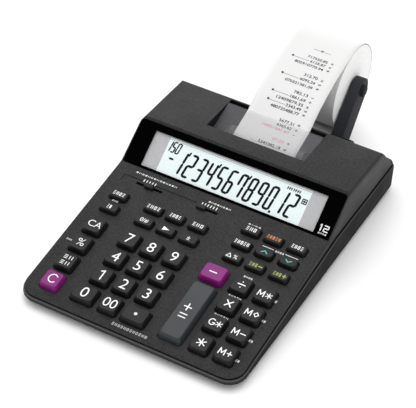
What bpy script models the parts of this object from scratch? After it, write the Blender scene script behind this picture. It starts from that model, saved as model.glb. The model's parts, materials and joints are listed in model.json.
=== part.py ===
"""A printing desk calculator with a tilted display, 43 keys, a print mechanism and a paper roll.

Lengths below are in millimetres and become metres through MM.
Layout: x runs to the right, y runs back from the front edge and z rises from the table.
The empty "front_edge" carries everything, so that the whole object is centred on the world origin.
"""

import math

import bmesh
import bpy
from mathutils import Vector

MM = 0.001
GAP = 0.3  # clearance between neighbouring pieces

# Lower housing, a tray that stands on four moulded feet
LOWER_HALF_WIDTH = 97.5
BODY_DEPTH = 284.0
FRONT_CORNER_RADIUS = 15.0
REAR_CORNER_RADIUS = 8.0
UNDERSIDE = 3.6
FLOOR_THICKNESS = 1.5
LOWER_WALL = 2.2
EDGE_CHAMFER = 1.6
FOOT_RADIUS = 6.0
FEET = ((-80.0, 24.0), (80.0, 24.0), (-80.0, 268.0), (80.0, 268.0))

# Line on which the two housings part, as (y, z)
PARTING = ((0.0, 8.7), (168.0, 27.8), (BODY_DEPTH, 26.2))
GROOVE = 1.0  # dark groove left open between the two housings

# Upper housing, side outline as (y, z)
UPPER_HALF_WIDTH = 96.2
UPPER_INSET = LOWER_HALF_WIDTH - UPPER_HALF_WIDTH
PANEL_FRONT = Vector((1.3, 10.3))
BEZEL_BOTTOM = Vector((153.9, 34.4))
BEZEL_TOP = Vector((186.1, 59.0))
HUMP_REAR = Vector((249.6, 56.95))
LEDGE_HEIGHT = 28.5  # narrow ledge at the foot of the rear slope
REAR_SLOPE = ((276.4, LEDGE_HEIGHT), (272.5, 34.2), (267.0, 40.4), (260.0, 47.6), (254.9, 53.3), (252.4, 55.9))
PANEL_WALL = 1.8
SHELL_WALL = 2.0
BEZEL_WALL = 3.4
HUMP_HALF_WIDTH = 95.2
HUMP_EDGE_RADIUS = 3.0
SOFT_EDGE = 0.6

# Display
DISPLAY_THICKNESS = 1.5
DISPLAY_HALF_WIDTH = 94.3
LCD_CENTRE_X = 0.7
LCD_HALF_WIDTH = 80.0
LCD_LOW = 2.6
LCD_HIGH = 36.0
LCD_THICKNESS = 2.8

# Printer cover and its recess with the clear tear-off plate
COVER_DROP = 3.4  # how far below the hump's top the cover ends
RECESS_HALF_WIDTH = 45.0
RECESS_FRONT = 206.0
RECESS_REAR = 249.6
RECESS_WALL = 1.5
RECESS_FLOOR = 47.9
TEAR_LOW = Vector((216.0, 47.6))
TEAR_HIGH = Vector((244.0, 57.6))
TEAR_THICKNESS = 1.8

# Keyboard, in the panel's own frame: x across, s up the slope from the front edge
KEY_TRAVEL = 1.6
KEY_FLANGE = 0.9
KEY_FLANGE_TOP = -(PANEL_WALL + GAP)
KEY_FLANGE_BOTTOM = KEY_FLANGE_TOP - 0.8
MAT_TOP = KEY_FLANGE_BOTTOM - KEY_TRAVEL - 0.2
MAT_THICKNESS = 0.8
BOARD_THICKNESS = 1.2
COLUMNS = {"A": -76.0, "B": -43.5, "C": -23.4, "D": -2.9, "E": 32.2, "F": 56.5, "G": 77.3, "H": 36.8}
ROWS = {1: 18.6, 2: 39.4, 3: 60.2, 4: 81.0, 5: 103.7, 6: 118.9, 7: 134.8}
# kind: half width, half depth, height, how far the top is drawn in
KEY_KINDS = {
    "big": (8.3, 8.5, 5.0, 1.4),
    "small": (8.2, 4.9, 3.8, 1.0),
    "zero": (10.2, 8.4, 5.0, 1.5),
    "point": (10.8, 8.4, 5.0, 1.5),
    "minus": (10.4, 8.5, 5.6, 1.5),
    "equals": (10.4, 29.6, 5.6, 2.0),
}
# name, column, row, kind, offset across, offset up the slope
KEYS = (
    ("key_clear", "A", 1, "big", 0, 0),
    ("key_markup", "A", 2, "big", 0, 0),
    ("key_percent", "A", 3, "big", 0, 0),
    ("key_clear_all", "A", 4, "big", 0, 0),
    ("key_item", "A", 5, "small", 0, 0),
    ("key_time", "A", 6, "small", 0, 0),
    ("key_0", "B", 1, "zero", -2.8, 0),
    ("key_1", "B", 2, "big", 0, 0),
    ("key_4", "B", 3, "big", 0, 0),
    ("key_7", "B", 4, "big", 0, 0),
    ("key_rate", "B", 5, "small", 0, 0),
    ("key_cost", "B", 6, "small", 0, 0),
    ("key_00", "C", 1, "big", 0, 0),
    ("key_2", "C", 2, "big", 0, 0),
    ("key_5", "C", 3, "big", 0, 0),
    ("key_8", "C", 4, "big", 0, 0),
    ("key_backspace", "C", 5, "small", 0, 0),
    ("key_sell", "C", 6, "small", 0, 0),
    ("key_point", "D", 1, "point", 2.0, 0),
    ("key_3", "D", 2, "big", 0, 0),
    ("key_6", "D", 3, "big", 0, 0),
    ("key_9", "D", 4, "big", 0, 0),
    ("key_sign", "D", 5, "small", 0, 0),
    ("key_margin", "D", 6, "small", 0, 0),
    ("key_plus_equals", "E", 2, "equals", 0, 0.7),
    ("key_minus", "E", 4, "minus", 0, 0.8),
    ("key_total", "F", 1, "big", 0, 0),
    ("key_grand_total", "F", 2, "big", 0, 0),
    ("key_multiply", "F", 3, "big", 0, 0),
    ("key_divide", "F", 4, "big", 0, 0),
    ("key_memory_plus", "G", 1, "big", 0, 0),
    ("key_memory_minus", "G", 2, "big", 0, 0),
    ("key_memory_subtotal", "G", 3, "big", 0, 0),
    ("key_memory_total", "G", 4, "big", 0, 0),
    ("key_delta_percent", "H", 5, "small", 0, 0),
    ("key_correct", "H", 6, "small", 0, 0),
    ("key_print", "H", 7, "small", 0, 0),
    ("key_tax_minus", "F", 5, "small", 0.3, 0),
    ("key_step_up", "F", 6, "small", 0.3, 0),
    ("key_reprint", "F", 7, "small", 0.3, 0),
    ("key_tax_plus", "G", 5, "small", 0.3, 0),
    ("key_step_down", "G", 6, "small", 0.3, 0),
    ("key_feed", "G", 7, "small", 0.3, 0),
)
KEY_COLOURS = {"key_clear": "magenta", "key_minus": "magenta", "key_plus_equals": "slate"}

# Slide switches, in the panel's frame
SWITCH_S = 139.0
SWITCH_RECESS = (-85.3, -17.0, 135.6, 142.8)
SWITCH_RECESS_DEPTH = 0.5
# name: knob's place across, reach of its slot to each side
SWITCHES = {"decimal_switch": (-59.8, 12.2, 12.2), "rounding_switch": (-11.1, 2.2, 14.6)}
SLOT_HALF_WIDTH = 1.3

# Print mechanism
PLATEN_RADIUS = 8.0
PLATEN_SHAFT_RADIUS = 2.0
PLATEN_REACH = 8.0  # how far along the tear plate the platen lies
DRUM_RADIUS = 9.0
ROLLER_END_GAP = 1.5
FRAME_HALF_WIDTH = 35.8
FRAME_CHEEK = ((186.0, 14.0), (241.0, 14.0), (241.0, 34.0), (234.0, 45.0),
               (216.0, 45.0), (200.0, 43.0), (186.0, 30.0))

# Paper, roll and roll holder
PAPER_CENTRE_X = 1.8
PAPER_HALF_WIDTH = 29.0
PAPER_HALF_THICKNESS = 0.2
ROLL_AXIS = Vector((331.5, 49.0))
ROLL_RADIUS = 38.5
CORE_RADIUS = 6.3
INLET = Vector((285.0, 22.0))
INLET_SLOT = (-30.0, 34.0, 16.5, 25.0)
STRIP_RISE = ((252.0, 59.6), (262.0, 66.4), (279.0, 74.6), (300.0, 82.6))
STRIP_LIFT = 1.5  # how far the printed strip lies off the roll
STRIP_START_ANGLE = 99.0
STRIP_END_ANGLE = -26.0
HOLDER_AXIS = Vector((296.0, 14.5))
HOLDER_FOOT_RADIUS = 10.6
HOLDER_HEAD_RADIUS = 11.2
ARM_INNER = 30.3
ARM_OUTER_LOW = 41.4
ARM_OUTER_HIGH = 39.2
STUB_RADIUS = 5.5
STUB_LENGTH = 7.0
PIN_RADIUS = 2.5
PIN_LENGTH = 5.5
LUG_INNER = 41.9
LUG_WIDTH = 6.5
LUG_RADIUS = 5.6

# Battery bay and its door, as x and y ranges
BAY = (-84.0, -50.0, 196.5, 251.5)
BAY_TOP = 35.0
BAY_WALL = 1.8
DOOR_OVERLAP = 3.0
DOOR_THICKNESS = 1.3

# Screw places and the power socket
SCREWS = ((-90.3, 22.0), (90.3, 22.0), (-90.3, 150.0), (90.3, 150.0), (-88.0, 262.0), (88.0, 262.0))
SCREW_HEAD_RADIUS = 2.8
SCREW_SHANK_RADIUS = 1.4
BOSS_RADIUS = 3.0
POCKET_RADIUS = 4.4
POCKET_TOP = 8.0
SOCKET = Vector((-70.0, 14.5))
SOCKET_BORE = 3.0
SOCKET_DEPTH = 12.0
SOCKET_PIN_RADIUS = 0.9

OVERALL_DEPTH = ROLL_AXIS.x + ROLL_RADIUS + STRIP_LIFT + PAPER_HALF_THICKNESS

PANEL_ALONG = (BEZEL_BOTTOM - PANEL_FRONT).normalized()
BEZEL_ALONG = (BEZEL_TOP - BEZEL_BOTTOM).normalized()
HUMP_ALONG = (HUMP_REAR - BEZEL_TOP).normalized()
TEAR_ALONG = (TEAR_HIGH - TEAR_LOW).normalized()
BEZEL_LENGTH = (BEZEL_TOP - BEZEL_BOTTOM).length


# ---------------------------------------------------------------- plane geometry

def left_of(direction):
    """The direction turned a quarter turn to the left."""
    return Vector((-direction.y, direction.x))


def crossing(point, along, other_point, other_along):
    """Where two lines of the y-z plane cross."""
    offset = other_point - point
    share = offset.cross(other_along) / along.cross(other_along)
    return point + along * share


def inset_outline(points, distances):
    """Move each edge of an anticlockwise outline inwards by its own distance."""
    count = len(points)
    edges = []
    for index in range(count):
        start = Vector(points[index])
        along = (Vector(points[(index + 1) % count]) - start).normalized()
        edges.append((start + left_of(along) * distances[index], along))
    return [crossing(*edges[index - 1], *edges[index]) for index in range(count)]


def on_circle(centre, radius, degrees):
    angle = math.radians(degrees)
    return centre + Vector((math.cos(angle), math.sin(angle))) * radius


def arc(centre, radius, start, end, steps):
    return [on_circle(centre, radius, start + (end - start) * i / steps) for i in range(steps + 1)]


def rounded_rectangle(x0, x1, y0, y1, radii, steps):
    """Anticlockwise outline; radii are for the corners at x1 y0, x1 y1, x0 y1 and x0 y0."""
    corners = ((x1, y0, -90), (x1, y1, 0), (x0, y1, 90), (x0, y0, 180))
    points = []
    for (x, y, start), radius in zip(corners, radii):
        centre = Vector((x - math.copysign(radius, x - (x0 + x1) / 2),
                         y - math.copysign(radius, y - (y0 + y1) / 2)))
        points.extend(arc(centre, radius, start, start + 90, steps))
    return points


def chamfered_rectangle(centre_x, centre_y, half_x, half_y, corner):
    return rounded_rectangle(
        centre_x - half_x, centre_x + half_x, centre_y - half_y, centre_y + half_y, [corner] * 4, 1)


def housing_plan(inset):
    """Outline of the housing seen from above, drawn in by inset."""
    front = FRONT_CORNER_RADIUS - inset
    rear = REAR_CORNER_RADIUS - inset
    half = LOWER_HALF_WIDTH - inset
    return rounded_rectangle(-half, half, inset, BODY_DEPTH - inset, (front, rear, rear, front), 5)


def parting_height(y):
    low, high = (PARTING[0], PARTING[1]) if y <= PARTING[1][0] else (PARTING[1], PARTING[2])
    return low[1] + (high[1] - low[1]) * (y - low[0]) / (high[0] - low[0])


def hump_height(y):
    return BEZEL_TOP.y + HUMP_ALONG.y / HUMP_ALONG.x * (y - BEZEL_TOP.x)


# ---------------------------------------------------------------- meshes and objects

def material(name, colour, roughness, metallic=0.0):
    made = bpy.data.materials.new(name)
    made.use_nodes = True
    shader = made.node_tree.nodes["Principled BSDF"]
    shader.inputs["Base Color"].default_value = (*colour, 1.0)
    shader.inputs["Roughness"].default_value = roughness
    shader.inputs["Metallic"].default_value = metallic
    return made


def make_object(name, bm, finish=None, parent=None, smooth=False):
    bmesh.ops.recalc_face_normals(bm, faces=bm.faces)
    mesh = bpy.data.meshes.new(name)
    bm.to_mesh(mesh)
    bm.free()
    if smooth:
        mesh.shade_smooth()
        mesh.set_sharp_from_angle(angle=math.radians(40))
    if finish:
        mesh.materials.append(finish)
    made = bpy.data.objects.new(name, mesh)
    bpy.context.scene.collection.objects.link(made)
    made.parent = parent or FRAME
    return made


def add_loft(bm, rings):
    """Add a closed body through rings of points that all have the same count."""
    loops = [[bm.verts.new(Vector(point) * MM) for point in ring] for ring in rings]
    for low, high in zip(loops, loops[1:]):
        for i in range(len(low)):
            j = (i + 1) % len(low)
            bm.faces.new((low[i], low[j], high[j], high[i]))
    bm.faces.new(loops[0][::-1])
    bm.faces.new(loops[-1])


def flat_ring(outline, z):
    return [(point[0], point[1], z) for point in outline]


def side_ring(outline, x):
    return [(x, point[0], point[1]) for point in outline]


def add_block(bm, x0, x1, y0, y1, z0, z1):
    corners = ((x0, y0), (x1, y0), (x1, y1), (x0, y1))
    add_loft(bm, [flat_ring(corners, z0), flat_ring(corners, z1)])


def add_cylinder_x(bm, axis, radius, x0, x1, segments):
    outline = arc(axis, radius, 0, 360 - 360 / segments, segments - 1)
    add_loft(bm, [side_ring(outline, x0), side_ring(outline, x1)])


def add_cylinder_y(bm, axis, radius, y0, y1, segments):
    outline = arc(axis, radius, 0, 360 - 360 / segments, segments - 1)
    add_loft(bm, [[(p.x, y, p.y) for p in outline] for y in (y0, y1)])


def add_cylinder_z(bm, x, y, radius, z0, z1, segments):
    outline = arc(Vector((x, y)), radius, 0, 360 - 360 / segments, segments - 1)
    add_loft(bm, [flat_ring(outline, z0), flat_ring(outline, z1)])


def solid(name, bodies, finish=None, parent=None, smooth=False):
    """An object from a list of (function, arguments) pairs, one closed body for each."""
    bm = bmesh.new()
    for add, arguments in bodies:
        add(bm, *arguments)
    return make_object(name, bm, finish, parent, smooth)


def boolean(target, operation, tool):
    tool.hide_render = True
    tool.display_type = "WIRE"
    modifier = target.modifiers.new(tool.name, "BOOLEAN")
    modifier.operation = operation
    modifier.solver = "EXACT"
    modifier.object = tool


def side_prism(name, outline, x0, x1, **options):
    return solid(name, [(add_loft, ([side_ring(outline, x0), side_ring(outline, x1)],))], **options)


# ---------------------------------------------------------------- upper housing and printer cover

def upper_outline():
    """Side outline of the upper housing, anticlockwise from the front of its lower edge."""
    front = PANEL_FRONT.x
    middle = PARTING[1][0]
    rear = BODY_DEPTH + 2.0
    low = [Vector((y, parting_height(y) + GROOVE)) for y in (front, middle, rear)]
    slope = [Vector((rear, LEDGE_HEIGHT))] + [Vector(point) for point in REAR_SLOPE]
    return low + slope + [HUMP_REAR, BEZEL_TOP, BEZEL_BOTTOM, PANEL_FRONT]


def cover_zone(depth_behind_bezel, drop):
    """Side outline of the space that the printer cover takes out of the hump."""
    front = BEZEL_TOP - left_of(BEZEL_ALONG) * depth_behind_bezel
    corner = crossing(front, BEZEL_ALONG, BEZEL_TOP - Vector((0, drop)), HUMP_ALONG)
    rear_y = 290.0
    return [corner, Vector((rear_y, hump_height(rear_y) - drop)), Vector((rear_y, 75.0)),
            corner + BEZEL_ALONG * 25.0]


def upper_shell(name, finish):
    """The hollow outer form that the upper housing and the printer cover are both cut from."""
    outline = upper_outline()
    shell = side_prism(name, outline, -100.0, 100.0, finish=finish)

    # cross-section: sides that lean in towards the top, and rounded hump edges
    top = BEZEL_TOP.y + 0.05
    edge_centre = Vector((HUMP_HALF_WIDTH - HUMP_EDGE_RADIUS, top - HUMP_EDGE_RADIUS))
    right_side = [Vector((UPPER_HALF_WIDTH + 0.3, -20.0))] + arc(edge_centre, HUMP_EDGE_RADIUS, 0, 90, 4)
    section = right_side + [Vector((-point.x, point.y)) for point in reversed(right_side)]
    rings = []
    for y in (-20.0, 320.0):
        lift = HUMP_ALONG.y / HUMP_ALONG.x * (y - BEZEL_TOP.x)
        rings.append([(point.x, y, point.y + lift) for point in section])
    boolean(shell, "INTERSECT", solid(name + "_section", [(add_loft, (rings,))]))

    plan = housing_plan(UPPER_INSET)
    body = [flat_ring(plan, -10.0), flat_ring(plan, 90.0)]
    boolean(shell, "INTERSECT", solid(name + "_plan", [(add_loft, (body,))]))

    edges = shell.modifiers.new("soft_edges", "BEVEL")
    edges.width = SOFT_EDGE * MM
    edges.segments = 2
    edges.limit_method = "ANGLE"
    edges.angle_limit = math.radians(40)

    walls = [-6.0] * 2 + [SHELL_WALL] * (len(outline) - 5) + [BEZEL_WALL, PANEL_WALL, SHELL_WALL]
    inside = inset_outline(outline, walls)
    half = UPPER_HALF_WIDTH - SHELL_WALL
    boolean(shell, "DIFFERENCE", side_prism(name + "_inside", inside, -half, half))
    return shell


def key_places():
    """(name, kind, x, s) of every key in the panel's frame."""
    return [(name, kind, COLUMNS[column] + across, ROWS[row] + up)
            for name, column, row, kind, across, up in KEYS]


def make_upper_housing():
    shell = upper_shell("upper_housing", CHARCOAL)
    zone = cover_zone(DISPLAY_THICKNESS + GAP, COVER_DROP + GAP)
    boolean(shell, "DIFFERENCE", side_prism("cover_clearance", zone, -110.0, 110.0))

    seat_half = DISPLAY_HALF_WIDTH + GAP
    seat_depth = DISPLAY_THICKNESS + GAP
    seat = (add_block, (-seat_half, seat_half, 0.0, BEZEL_LENGTH + 6.0, -seat_depth, 6.0))
    boolean(shell, "DIFFERENCE", solid("display_seat", [seat], parent=BEZEL))
    window = (add_block, (LCD_CENTRE_X - LCD_HALF_WIDTH - GAP, LCD_CENTRE_X + LCD_HALF_WIDTH + GAP,
                          LCD_LOW - GAP, LCD_HIGH + GAP, -12.0, 2.0))
    boolean(shell, "DIFFERENCE", solid("lcd_window", [window], parent=BEZEL))

    openings = []
    for _, kind, x, s in key_places():
        half_x, half_y, _, _ = KEY_KINDS[kind]
        outline = chamfered_rectangle(x, s, half_x + 0.4, half_y + 0.4, 1.8)
        openings.append((add_loft, ([flat_ring(outline, -8.0), flat_ring(outline, 8.0)],)))
    for x, left, right in SWITCHES.values():
        openings.append((add_block, (x - left, x + right, SWITCH_S - SLOT_HALF_WIDTH,
                                     SWITCH_S + SLOT_HALF_WIDTH, -8.0, 8.0)))
    boolean(shell, "DIFFERENCE", solid("panel_openings", openings, parent=PANEL))
    recess = (add_block, (*SWITCH_RECESS, -SWITCH_RECESS_DEPTH, 5.0))
    boolean(shell, "DIFFERENCE", solid("switch_recess", [recess], parent=PANEL))

    bosses, bores = [], []
    for x, y in SCREWS:
        skin = Vector((y, 0)) if y > BEZEL_TOP.x else PANEL_FRONT + PANEL_ALONG * (y - PANEL_FRONT.x)
        top = 41.2 if y > BEZEL_TOP.x else skin.y - PANEL_WALL * 0.5
        bosses.append((add_cylinder_z, (x, y, BOSS_RADIUS, POCKET_TOP + GAP, top, 10)))
        bores.append((add_cylinder_z, (x, y, SCREW_SHANK_RADIUS + GAP, 0.0, 11.3, 8)))
    boolean(shell, "UNION", solid("screw_bosses", bosses))
    boolean(shell, "DIFFERENCE", solid("boss_bores", bores))


def make_printer_cover():
    cover = upper_shell("printer_cover", CHARCOAL)
    zone = cover_zone(DISPLAY_THICKNESS + 2 * GAP, COVER_DROP)
    boolean(cover, "INTERSECT", side_prism("cover_extent", zone, -110.0, 110.0))
    recess = (add_block, (-RECESS_HALF_WIDTH, RECESS_HALF_WIDTH, RECESS_FRONT, RECESS_REAR, 40.0, 70.0))
    boolean(cover, "DIFFERENCE", solid("recess_opening", [recess]))

    # walls of the recess hang from the middle of the cover's skin
    front = RECESS_FRONT - RECESS_WALL
    rear = RECESS_REAR - 0.6
    outer = RECESS_HALF_WIDTH + RECESS_WALL
    skin_front = hump_height(front) - SHELL_WALL * 0.5
    skin_inner = hump_height(RECESS_FRONT) - SHELL_WALL * 0.5
    skin_rear = hump_height(rear) - SHELL_WALL * 0.5
    cheek = ((front, RECESS_FLOOR), (rear, RECESS_FLOOR), (rear, skin_rear), (front, skin_front))
    step = ((front, RECESS_FLOOR), (TEAR_LOW.x - 0.4, RECESS_FLOOR), (TEAR_LOW.x - 0.4, RECESS_FLOOR + 1.5),
            (RECESS_FRONT, RECESS_FLOOR + 1.5), (RECESS_FRONT, skin_inner), (front, skin_front))
    inner = RECESS_HALF_WIDTH
    for name, outline, x0, x1 in (
            ("left_cheek", cheek, -outer, -inner),
            ("right_cheek", cheek, inner, outer),
            ("recess_step", step, -outer + 0.4, outer - 0.4)):
        boolean(cover, "UNION", side_prism(name, outline, x0, x1))


def make_tear_plate():
    down = left_of(TEAR_ALONG) * -TEAR_THICKNESS
    half = RECESS_HALF_WIDTH - GAP
    outline = [TEAR_LOW + down, TEAR_HIGH + down, TEAR_HIGH, TEAR_LOW]
    side_prism("tear_plate", outline, -half, half, finish=CLEAR)


# ---------------------------------------------------------------- lower housing

def make_lower_housing():
    floor_top = UNDERSIDE + FLOOR_THICKNESS
    rings = [flat_ring(housing_plan(EDGE_CHAMFER), UNDERSIDE),
             flat_ring(housing_plan(0.0), UNDERSIDE + EDGE_CHAMFER),
             flat_ring(housing_plan(0.0), 60.0)]
    tray = solid("lower_housing", [(add_loft, (rings,))], finish=CHARCOAL_LOW)
    hollow = housing_plan(LOWER_WALL)
    cavity = [flat_ring(hollow, floor_top), flat_ring(hollow, 80.0)]
    boolean(tray, "DIFFERENCE", solid("tray_cavity", [(add_loft, (cavity,))]))
    above = [Vector((-20.0, parting_height(-20.0))), Vector(PARTING[1]),
             Vector((320.0, parting_height(320.0))), Vector((320.0, 90.0)), Vector((-20.0, 90.0))]
    boolean(tray, "DIFFERENCE", side_prism("above_parting", above, -120.0, 120.0))

    x0, x1, y0, y1 = BAY
    bay = (add_block, (x0 - BAY_WALL, x1 + BAY_WALL, y0 - BAY_WALL, y1 + BAY_WALL,
                       UNDERSIDE + 0.4, BAY_TOP + BAY_WALL))
    socket_half = SOCKET_BORE + 1.7
    socket = (add_block, (SOCKET.x - socket_half, SOCKET.x + socket_half,
                          BODY_DEPTH - SOCKET_DEPTH - 2.0, BODY_DEPTH - 1.0,
                          SOCKET.y - socket_half, SOCKET.y + socket_half))
    additions = [bay, socket]
    for x, y in FEET:
        additions.append((add_cylinder_z, (x, y, FOOT_RADIUS, 0.0, UNDERSIDE + 0.7, 16)))
    for x, y in SCREWS:
        additions.append((add_cylinder_z, (x, y, POCKET_RADIUS, UNDERSIDE + 0.5, POCKET_TOP, 12)))
    boolean(tray, "UNION", solid("bay_feet_and_pockets", additions))
    for side in (-1, 1):
        outline = [Vector((BODY_DEPTH - 1.0, HOLDER_AXIS.y - LUG_RADIUS))]
        outline += arc(HOLDER_AXIS, LUG_RADIUS, -90, 90, 8)
        outline += [Vector((BODY_DEPTH - 1.0, HOLDER_AXIS.y + LUG_RADIUS))]
        x = sorted(PAPER_CENTRE_X + side * (LUG_INNER + reach) for reach in (0.0, LUG_WIDTH))
        boolean(tray, "UNION", side_prism(f"holder_lug_{side}", outline, *x))

    low, high = UNDERSIDE - 5.0, POCKET_TOP - 1.7
    cuts = [(add_block, (x0, x1, y0, y1, low, BAY_TOP)),
            (add_block, (INLET_SLOT[0], INLET_SLOT[1], BODY_DEPTH - 6.0, BODY_DEPTH + 6.0,
                         INLET_SLOT[2], INLET_SLOT[3]))]
    for x, y in SCREWS:
        cuts.append((add_loft, ([
            flat_ring(arc(Vector((x, y)), radius, 0, 330, 11), z)
            for radius, z in ((SCREW_HEAD_RADIUS + 0.5, low), (SCREW_HEAD_RADIUS + 0.5, high),
                              (SCREW_SHANK_RADIUS + GAP, high), (SCREW_SHANK_RADIUS + GAP, 12.0))],)))
    cuts.append((add_cylinder_y, (SOCKET, SOCKET_BORE, BODY_DEPTH - SOCKET_DEPTH, BODY_DEPTH + 6.0, 16)))
    cuts.append((add_cylinder_x, (HOLDER_AXIS, PIN_RADIUS + GAP, -60.0, 60.0, 16)))
    boolean(tray, "DIFFERENCE", solid("tray_openings", cuts))
    pin = (add_cylinder_y, (SOCKET, SOCKET_PIN_RADIUS, BODY_DEPTH - SOCKET_DEPTH - 1.0, BODY_DEPTH - 3.0, 8))
    boolean(tray, "UNION", solid("socket_pin", [pin]))


def make_battery_door():
    x0, x1, y0, y1 = BAY
    top = UNDERSIDE - GAP
    bottom = top - DOOR_THICKNESS
    outline = rounded_rectangle(x0 - DOOR_OVERLAP, x1 + DOOR_OVERLAP, y0 - DOOR_OVERLAP, y1 + DOOR_OVERLAP,
                                [2.0] * 4, 3)
    rings = [flat_ring(outline, bottom), flat_ring(outline, top)]
    door = solid("battery_door", [(add_loft, (rings,))], finish=CHARCOAL_LOW)
    ribs = [(add_block, (x0 + 10.0, x1 - 10.0, y0 + 4.0 + 2.4 * i, y0 + 5.2 + 2.4 * i, bottom - 1.0, bottom + 0.4))
            for i in range(4)]
    boolean(door, "DIFFERENCE", solid("thumb_grooves", ribs))


# ---------------------------------------------------------------- display and keyboard

def make_display():
    outline = rounded_rectangle(-DISPLAY_HALF_WIDTH, DISPLAY_HALF_WIDTH, GAP, BEZEL_LENGTH - GAP,
                                (0.8, 3.0, 3.0, 0.8), 3)
    rings = [flat_ring(outline, -DISPLAY_THICKNESS), flat_ring(outline, 0.0)]
    solid("display_panel", [(add_loft, (rings,))], finish=GLOSS_BLACK, parent=BEZEL)
    front = -(DISPLAY_THICKNESS + GAP)
    block = (LCD_CENTRE_X - LCD_HALF_WIDTH, LCD_CENTRE_X + LCD_HALF_WIDTH, LCD_LOW, LCD_HIGH,
             front - LCD_THICKNESS, front)
    solid("lcd_module", [(add_block, block)], finish=LCD_PALE, parent=BEZEL)


def make_keys():
    for name, kind, x, s in key_places():
        half_x, half_y, height, draw_in = KEY_KINDS[kind]
        levels = ((KEY_FLANGE, 2.2, KEY_FLANGE_BOTTOM), (KEY_FLANGE, 2.2, KEY_FLANGE_TOP),
                  (0.0, 1.8, KEY_FLANGE_TOP), (-0.3, 1.8, height * 0.55), (-draw_in, 2.6, height))
        rings = [flat_ring(chamfered_rectangle(0, 0, half_x + grow, half_y + grow, corner), z)
                 for grow, corner, z in levels]
        finish = {"magenta": MAGENTA, "slate": SLATE}.get(KEY_COLOURS.get(name), KEY_DARK)
        key = solid(name, [(add_loft, (rings,))], finish=finish, parent=PANEL)
        key.location = Vector((x, s, 0.0)) * MM


def make_switches():
    for name, (x, _, _) in SWITCHES.items():
        levels = ((5.0, 2.3, 0.5, KEY_FLANGE_BOTTOM), (5.0, 2.3, 0.5, KEY_FLANGE_TOP),
                  (1.5, 0.9, 0.2, KEY_FLANGE_TOP), (1.5, 0.9, 0.2, GAP),
                  (4.4, 2.5, 0.8, GAP), (4.2, 2.3, 0.8, 1.8), (3.4, 1.7, 0.8, 2.6))
        rings = [flat_ring(chamfered_rectangle(0, 0, half_x, half_y, corner), z)
                 for half_x, half_y, corner, z in levels]
        switch = solid(name, [(add_loft, (rings,))], finish=KEY_DARK, parent=PANEL)
        switch.location = Vector((x, SWITCH_S, 0.0)) * MM


def make_keyboard_layers():
    mat_top = MAT_TOP
    mat = (add_block, (-85.4, 85.4, 8.8, 144.0, mat_top - MAT_THICKNESS, mat_top))
    solid("keypad_mat", [mat], finish=RUBBER, parent=PANEL)
    board_top = mat_top - MAT_THICKNESS - GAP
    board = (add_block, (-84.0, 84.0, 15.0, 150.0, board_top - BOARD_THICKNESS, board_top))
    solid("main_pcb", [board], finish=BOARD_GREEN, parent=PANEL)


# ---------------------------------------------------------------- print mechanism

def platen_axis():
    reach = TEAR_THICKNESS + 0.6 + PAPER_HALF_THICKNESS * 2 + GAP + PLATEN_RADIUS
    return TEAR_LOW - left_of(TEAR_ALONG) * reach + TEAR_ALONG * PLATEN_REACH


def make_roller(name, axis, radius, x0, x1, finish):
    """A roller between x0 and x1, modelled about its axis, on a shaft that reaches past its ends."""
    reach = 4.0 + ROLLER_END_GAP
    profile = ((PLATEN_SHAFT_RADIUS, x0 - reach), (PLATEN_SHAFT_RADIUS, x0), (radius, x0),
               (radius, x1), (PLATEN_SHAFT_RADIUS, x1), (PLATEN_SHAFT_RADIUS, x1 + reach))
    rings = [side_ring(arc(Vector((0, 0)), ring_radius, 0, 345, 23), x) for ring_radius, x in profile]
    roller = solid(name, [(add_loft, (rings,))], finish=finish, smooth=True)
    roller.location = Vector((0, axis.x, axis.y)) * MM


def make_mechanism():
    platen = platen_axis()
    drum = platen + Vector((-(PLATEN_RADIUS + DRUM_RADIUS + PAPER_HALF_THICKNESS * 2 + 0.7), -1.8))
    left, right = PAPER_CENTRE_X - FRAME_HALF_WIDTH, PAPER_CENTRE_X + FRAME_HALF_WIDTH
    cheek = [Vector(p) for p in FRAME_CHEEK]
    frame = side_prism("printer_frame", cheek, left - 2.0, left, finish=STEEL)
    boolean(frame, "UNION", side_prism("right_frame_cheek", cheek, right, right + 2.0))
    base = (add_block, (left - 1.0, right + 1.0, 190.0, 238.0, 14.6, 16.6))
    boolean(frame, "UNION", solid("frame_base", [base]))
    motor = (add_block, (left + 6.0, left + 32.0, 205.0, 224.0, 16.0, 27.0))
    boolean(frame, "UNION", solid("motor_body", [motor]))
    bores = [(add_cylinder_x, (axis, PLATEN_SHAFT_RADIUS + GAP, left - 6.0, right + 6.0, 16))
             for axis in (platen, drum)]
    boolean(frame, "DIFFERENCE", solid("shaft_bores", bores))
    x0, x1 = left + ROLLER_END_GAP, right - ROLLER_END_GAP
    make_roller("feed_roller", platen, PLATEN_RADIUS, x0, x1, RUBBER)
    make_roller("print_drum", drum, DRUM_RADIUS, x0, x1, DRUM_GREY)


# ---------------------------------------------------------------- paper and roll holder

def tangent_point(start, centre, radius, side):
    """Where a line from start touches a circle, passing it on the given side of the centre."""
    offset = centre - start
    heading = math.atan2(offset.y, offset.x) + side * math.asin(radius / offset.length)
    reach = math.sqrt(offset.length_squared - radius ** 2)
    return start + Vector((math.cos(heading), math.sin(heading))) * reach


def angle_about(centre, point):
    return math.degrees(math.atan2(point.y - centre.y, point.x - centre.x))


def smooth_through(points, steps):
    """Catmull-Rom curve through the inner points of a list."""
    curve = []
    for before, a, b, after in zip(points, points[1:], points[2:], points[3:]):
        for i in range(steps):
            t = i / steps
            curve.append(0.5 * (2 * a + (b - before) * t + (2 * before - 5 * a + 4 * b - after) * t ** 2
                                + (3 * a - before - 3 * b + after) * t ** 3))
    return curve + [points[-2]]


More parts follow.
